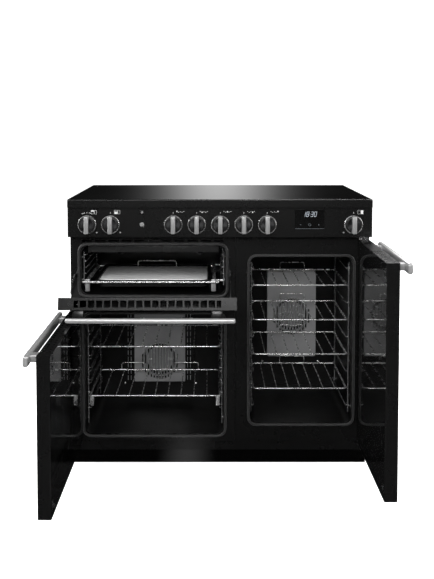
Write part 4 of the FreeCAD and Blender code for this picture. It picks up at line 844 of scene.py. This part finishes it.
def fanCoverStrips():
    # dark slotted strips down both sides of the main oven's cover
    size = {"left": -0.341, "right": -0.105, "low": 0.172, "high": 0.500, "front": 0.105, "wide": 0.033,
            "out": 0.011, "proud": 0.0004, "deep": 0.002, "soft": 0.0004}
    slot = {"first": 0.006, "step": 0.024, "tall": 0.017, "wide": 0.0022, "in": (0.009, 0.020),
            "thin": 0.0008}
    low, high, front = size["low"], size["high"], size["front"]
    edges = {"left": size["left"] - size["out"], "right": size["right"] + size["out"] - size["wide"]}
    for hand, edge in edges.items():
        bm = bmesh.new()
        block(bm, (edge, front - size["proud"], low), (edge + size["wide"], front + size["deep"], high),
              size["soft"], 1)
        newPiece("cover_strip_" + hand, bm, "cooker", "oven_enamel")
        bm = bmesh.new()
        for n in range(int((high - low) / slot["step"])):
            z = low + slot["first"] + n * slot["step"]
            for inward in slot["in"]:
                block(bm, (edge + inward - slot["wide"] / 2, front - slot["thin"], z),
                      (edge + inward + slot["wide"] / 2, front + slot["thin"], z + slot["tall"]))
        newPiece("strip_slots_" + hand, bm, "cooker", "grey_enamel", finish=finishes["galvanised"])


def coverScrews():
    # two round heads on the rear wall, under each fan's cover
    size = {"radius": 0.0038, "edge": 0.0015, "crown": 0.002, "crownUp": 0.0028, "top": 0.003, "steps": 20,
            "places": ((-0.359, 0.152), (-0.087, 0.152), (0.168, 0.238), (0.383, 0.238))}
    bm = bmesh.new()
    for x, z in size["places"]:
        turned(bm, Vector((x, rearWall, z)), [
            (size["radius"], 0), (size["radius"], size["edge"]),
            (size["crown"], size["crownUp"]), (0, size["top"]),
        ], size["steps"])
    newPiece("cover_screws", bm, "cooker", "chrome", finish=brightWire)


def hobEdge():
    # the ground front edge of the glass, a thin pale line painted as the edge's highlight
    size = {"half": 0.4935, "front": -0.2942, "deep": 0.0012, "low": 0.9036, "top": 0.9049, "soft": 0.0004}
    bm = bmesh.new()
    block(bm, (-size["half"], size["front"], size["low"]),
          (size["half"], size["front"] + size["deep"], size["top"]), size["soft"], 2)
    newPiece("hob_edge", bm, "cooker", "black_glass", finish=paintedHighlightEdge())


knobs()
lightSwitch()
panelMarks()
clock()
print("knobs, marks and clock")
shelfWires("main_shelf_upper", 9, 2, False)
shelfWires("main_shelf_lower", 9, 2, True)
for name in ("tall_shelf_1", "tall_shelf_2", "tall_shelf_3", "tall_shelf_4"):
    shelfWires(name, 7, 1, False)
ladders()
grillRunners()
carriage()
doorSeals()
print("shelves, ladders and seals")
for which in doorPlaces:
    handle(which)
grillDoorScrews()
print("door fittings")
trivet()
grillDeflector()
grillLamps()
fanCoverStrips()
coverScrews()
hobEdge()
print("grill, fan covers and hob edge")


# floor, light and camera

def stageFloor():
    # white for the camera; what mirrors it sees a dark floor with one pale patch before the plinth
    size = {"half": 12.0, "pale": 0.88, "lift": 0.72}
    patch = {"pale": 0.6, "dark": 0.008, "x": -0.115, "half": 0.11}
    bm = bmesh.new()
    bmesh.ops.create_grid(bm, x_segments=1, y_segments=1, size=size["half"])
    mesh = bpy.data.meshes.new("floor")
    bm.to_mesh(mesh)
    bm.free()
    floor = bpy.data.objects.new("floor", mesh)
    bpy.context.collection.objects.link(floor)
    pale = size["pale"]
    paint = newMaterial("paleFloor", Base_Color=(pale, pale, pale, 1), Roughness=0.9, Specular_IOR_Level=0.0)
    floor.data.materials.append(paint)
    tree, matt = paint.node_tree, shaderOf(paint)
    lift = addNode(paint, "Emission", Strength=size["lift"])
    lifted = addNode(paint, "AddShader")
    tree.links.new(matt.outputs[0], lifted.inputs[0])
    tree.links.new(lift.outputs[0], lifted.inputs[1])
    split = addNode(paint, "SeparateXYZ")
    link(paint, addNode(paint, "TexCoord"), "Object", split, "Vector")
    aside = addNode(paint, "MapRange", From_Min=patch["x"] - patch["half"],
                    From_Max=patch["x"] + patch["half"])
    link(paint, split, "X", aside, "Value")
    shine = rampTo(paint, aside, "Result", [(0.0, patch["dark"]), (0.5, patch["pale"]), (1.0, patch["dark"])])
    shine.color_ramp.interpolation = "EASE"
    dark = addNode(paint, "Emission")
    link(paint, shine, "Color", dark, "Color")
    path = addNode(paint, "LightPath")
    seen = addNode(paint, "MixShader")
    mirrored = addNode(paint, "MixShader")
    tree.links.new(path.outputs["Is Camera Ray"], seen.inputs["Fac"])
    tree.links.new(matt.outputs[0], seen.inputs[1])
    tree.links.new(lifted.outputs[0], seen.inputs[2])
    tree.links.new(path.outputs["Is Glossy Ray"], mirrored.inputs["Fac"])
    tree.links.new(seen.outputs[0], mirrored.inputs[1])
    tree.links.new(dark.outputs[0], mirrored.inputs[2])
    tree.links.new(mirrored.outputs[0], tree.nodes["Material Output"].inputs["Surface"])


def studioWorld():
    # white for the camera, pale for what it lights, and dark with one soft glow for what mirrors it
    size = {"seen": 1.05, "pale": 0.62, "gloss": 0.007, "glow": 0.95, "glowWidth": 0.058, "glowHeight": 0.4,
            "glowX": 0.010}
    world = bpy.data.worlds.new("studio")
    bpy.context.scene.world = world
    world.use_nodes = True
    tree = world.node_tree
    tree.nodes.clear()

    def node(kind, **values):
        made = tree.nodes.new("ShaderNode" + kind)
        for name, value in values.items():
            setattr(made, name, value)
        return made

    def maths(operation, a, b):
        made = node("Math", operation=operation)
        for socket, value in zip(made.inputs, (a, b)):
            if isinstance(value, (int, float)):
                socket.default_value = value
            else:
                tree.links.new(value, socket)
        return made.outputs[0]

    coords = node("TexCoord")
    split = node("SeparateXYZ")
    tree.links.new(coords.outputs["Generated"], split.inputs[0])
    x, y, z = split.outputs
    # the glow is low behind the cooker, where the hob's glass mirrors it
    side = maths("DIVIDE", maths("SUBTRACT", x, size["glowX"]), size["glowWidth"])
    rise = maths("DIVIDE", z, size["glowHeight"])
    fall = maths("ADD", maths("MULTIPLY", side, side), maths("MULTIPLY", rise, rise))
    glow = maths("POWER", math.e, maths("MULTIPLY", fall, -1.0))
    behind = maths("GREATER_THAN", y, 0.0)
    glossy = maths("ADD", maths("MULTIPLY", maths("MULTIPLY", glow, behind), size["glow"]), size["gloss"])
    path = node("LightPath")
    pale = node("Background")
    pale.inputs["Color"].default_value = (1, 1, 1, 1)
    pale.inputs["Strength"].default_value = size["pale"]
    dark = node("Background")
    tree.links.new(glossy, dark.inputs["Strength"])
    white = node("Background")
    white.inputs["Color"].default_value = (1, 1, 1, 1)
    white.inputs["Strength"].default_value = size["seen"]
    seen = node("MixShader")
    mirrored = node("MixShader")
    out = node("OutputWorld")
    tree.links.new(path.outputs["Is Camera Ray"], seen.inputs[0])
    tree.links.new(pale.outputs[0], seen.inputs[1])
    tree.links.new(white.outputs[0], seen.inputs[2])
    tree.links.new(path.outputs["Is Glossy Ray"], mirrored.inputs[0])
    tree.links.new(seen.outputs[0], mirrored.inputs[1])
    tree.links.new(dark.outputs[0], mirrored.inputs[2])
    tree.links.new(mirrored.outputs[0], out.inputs["Surface"])


lights = {  # place, what it faces, width, height and watts
    "key": ((-1.6, -2.6, 2.6), (0, 0, 0.5), 1.6, 1.2, 45),
    "front": ((0.0, -3.4, 1.8), (0, 0, 0.5), 1.4, 0.5, 38),
    "fill": ((2.2, -2.2, 1.9), (0, 0, 0.5), 1.0, 1.2, 18),
    "right": ((3.6, 0.3, 1.9), (0, 0, 0.4), 2.4, 2.0, 170),
    "left": ((-3.6, 0.3, 1.9), (0, 0, 0.4), 2.4, 2.0, 170),
    "rear": ((0.8, 3.4, 2.9), (0, 0, 0.4), 2.4, 1.2, 60),
}


def softLight(name, place, aim, width, height, power):
    data = bpy.data.lights.new(name, "AREA")
    data.shape = "RECTANGLE"
    data.size = width
    data.size_y = height
    data.energy = power
    light = bpy.data.objects.new(name, data)
    light.location = place
    light.rotation_mode = "QUATERNION"
    light.rotation_quaternion = (Vector(aim) - Vector(place)).to_track_quat("-Z", "Y")
    bpy.context.collection.objects.link(light)


def studioCamera():
    # tilt is how far it looks down from level, in degrees
    size = {"place": (-0.0304, -2.965, 1.1627), "tilt": 3.0, "lens": 51.006, "sensor": 36.0, "shiftX": 0.011,
            "shiftY": -0.218}
    data = bpy.data.cameras.new("camera")
    data.sensor_width = size["sensor"]
    data.lens = size["lens"]
    data.shift_x = size["shiftX"]
    data.shift_y = size["shiftY"]
    camera = bpy.data.objects.new("camera", data)
    camera.location = size["place"]
    camera.rotation_euler = (math.radians(90 - size["tilt"]), 0, 0)
    bpy.context.collection.objects.link(camera)
    bpy.context.scene.camera = camera


stageFloor()
studioWorld()
for name, values in lights.items():
    softLight(name, *values)
studioCamera()
bpy.context.scene.view_settings.view_transform = "Standard"
print("stage, light and camera")
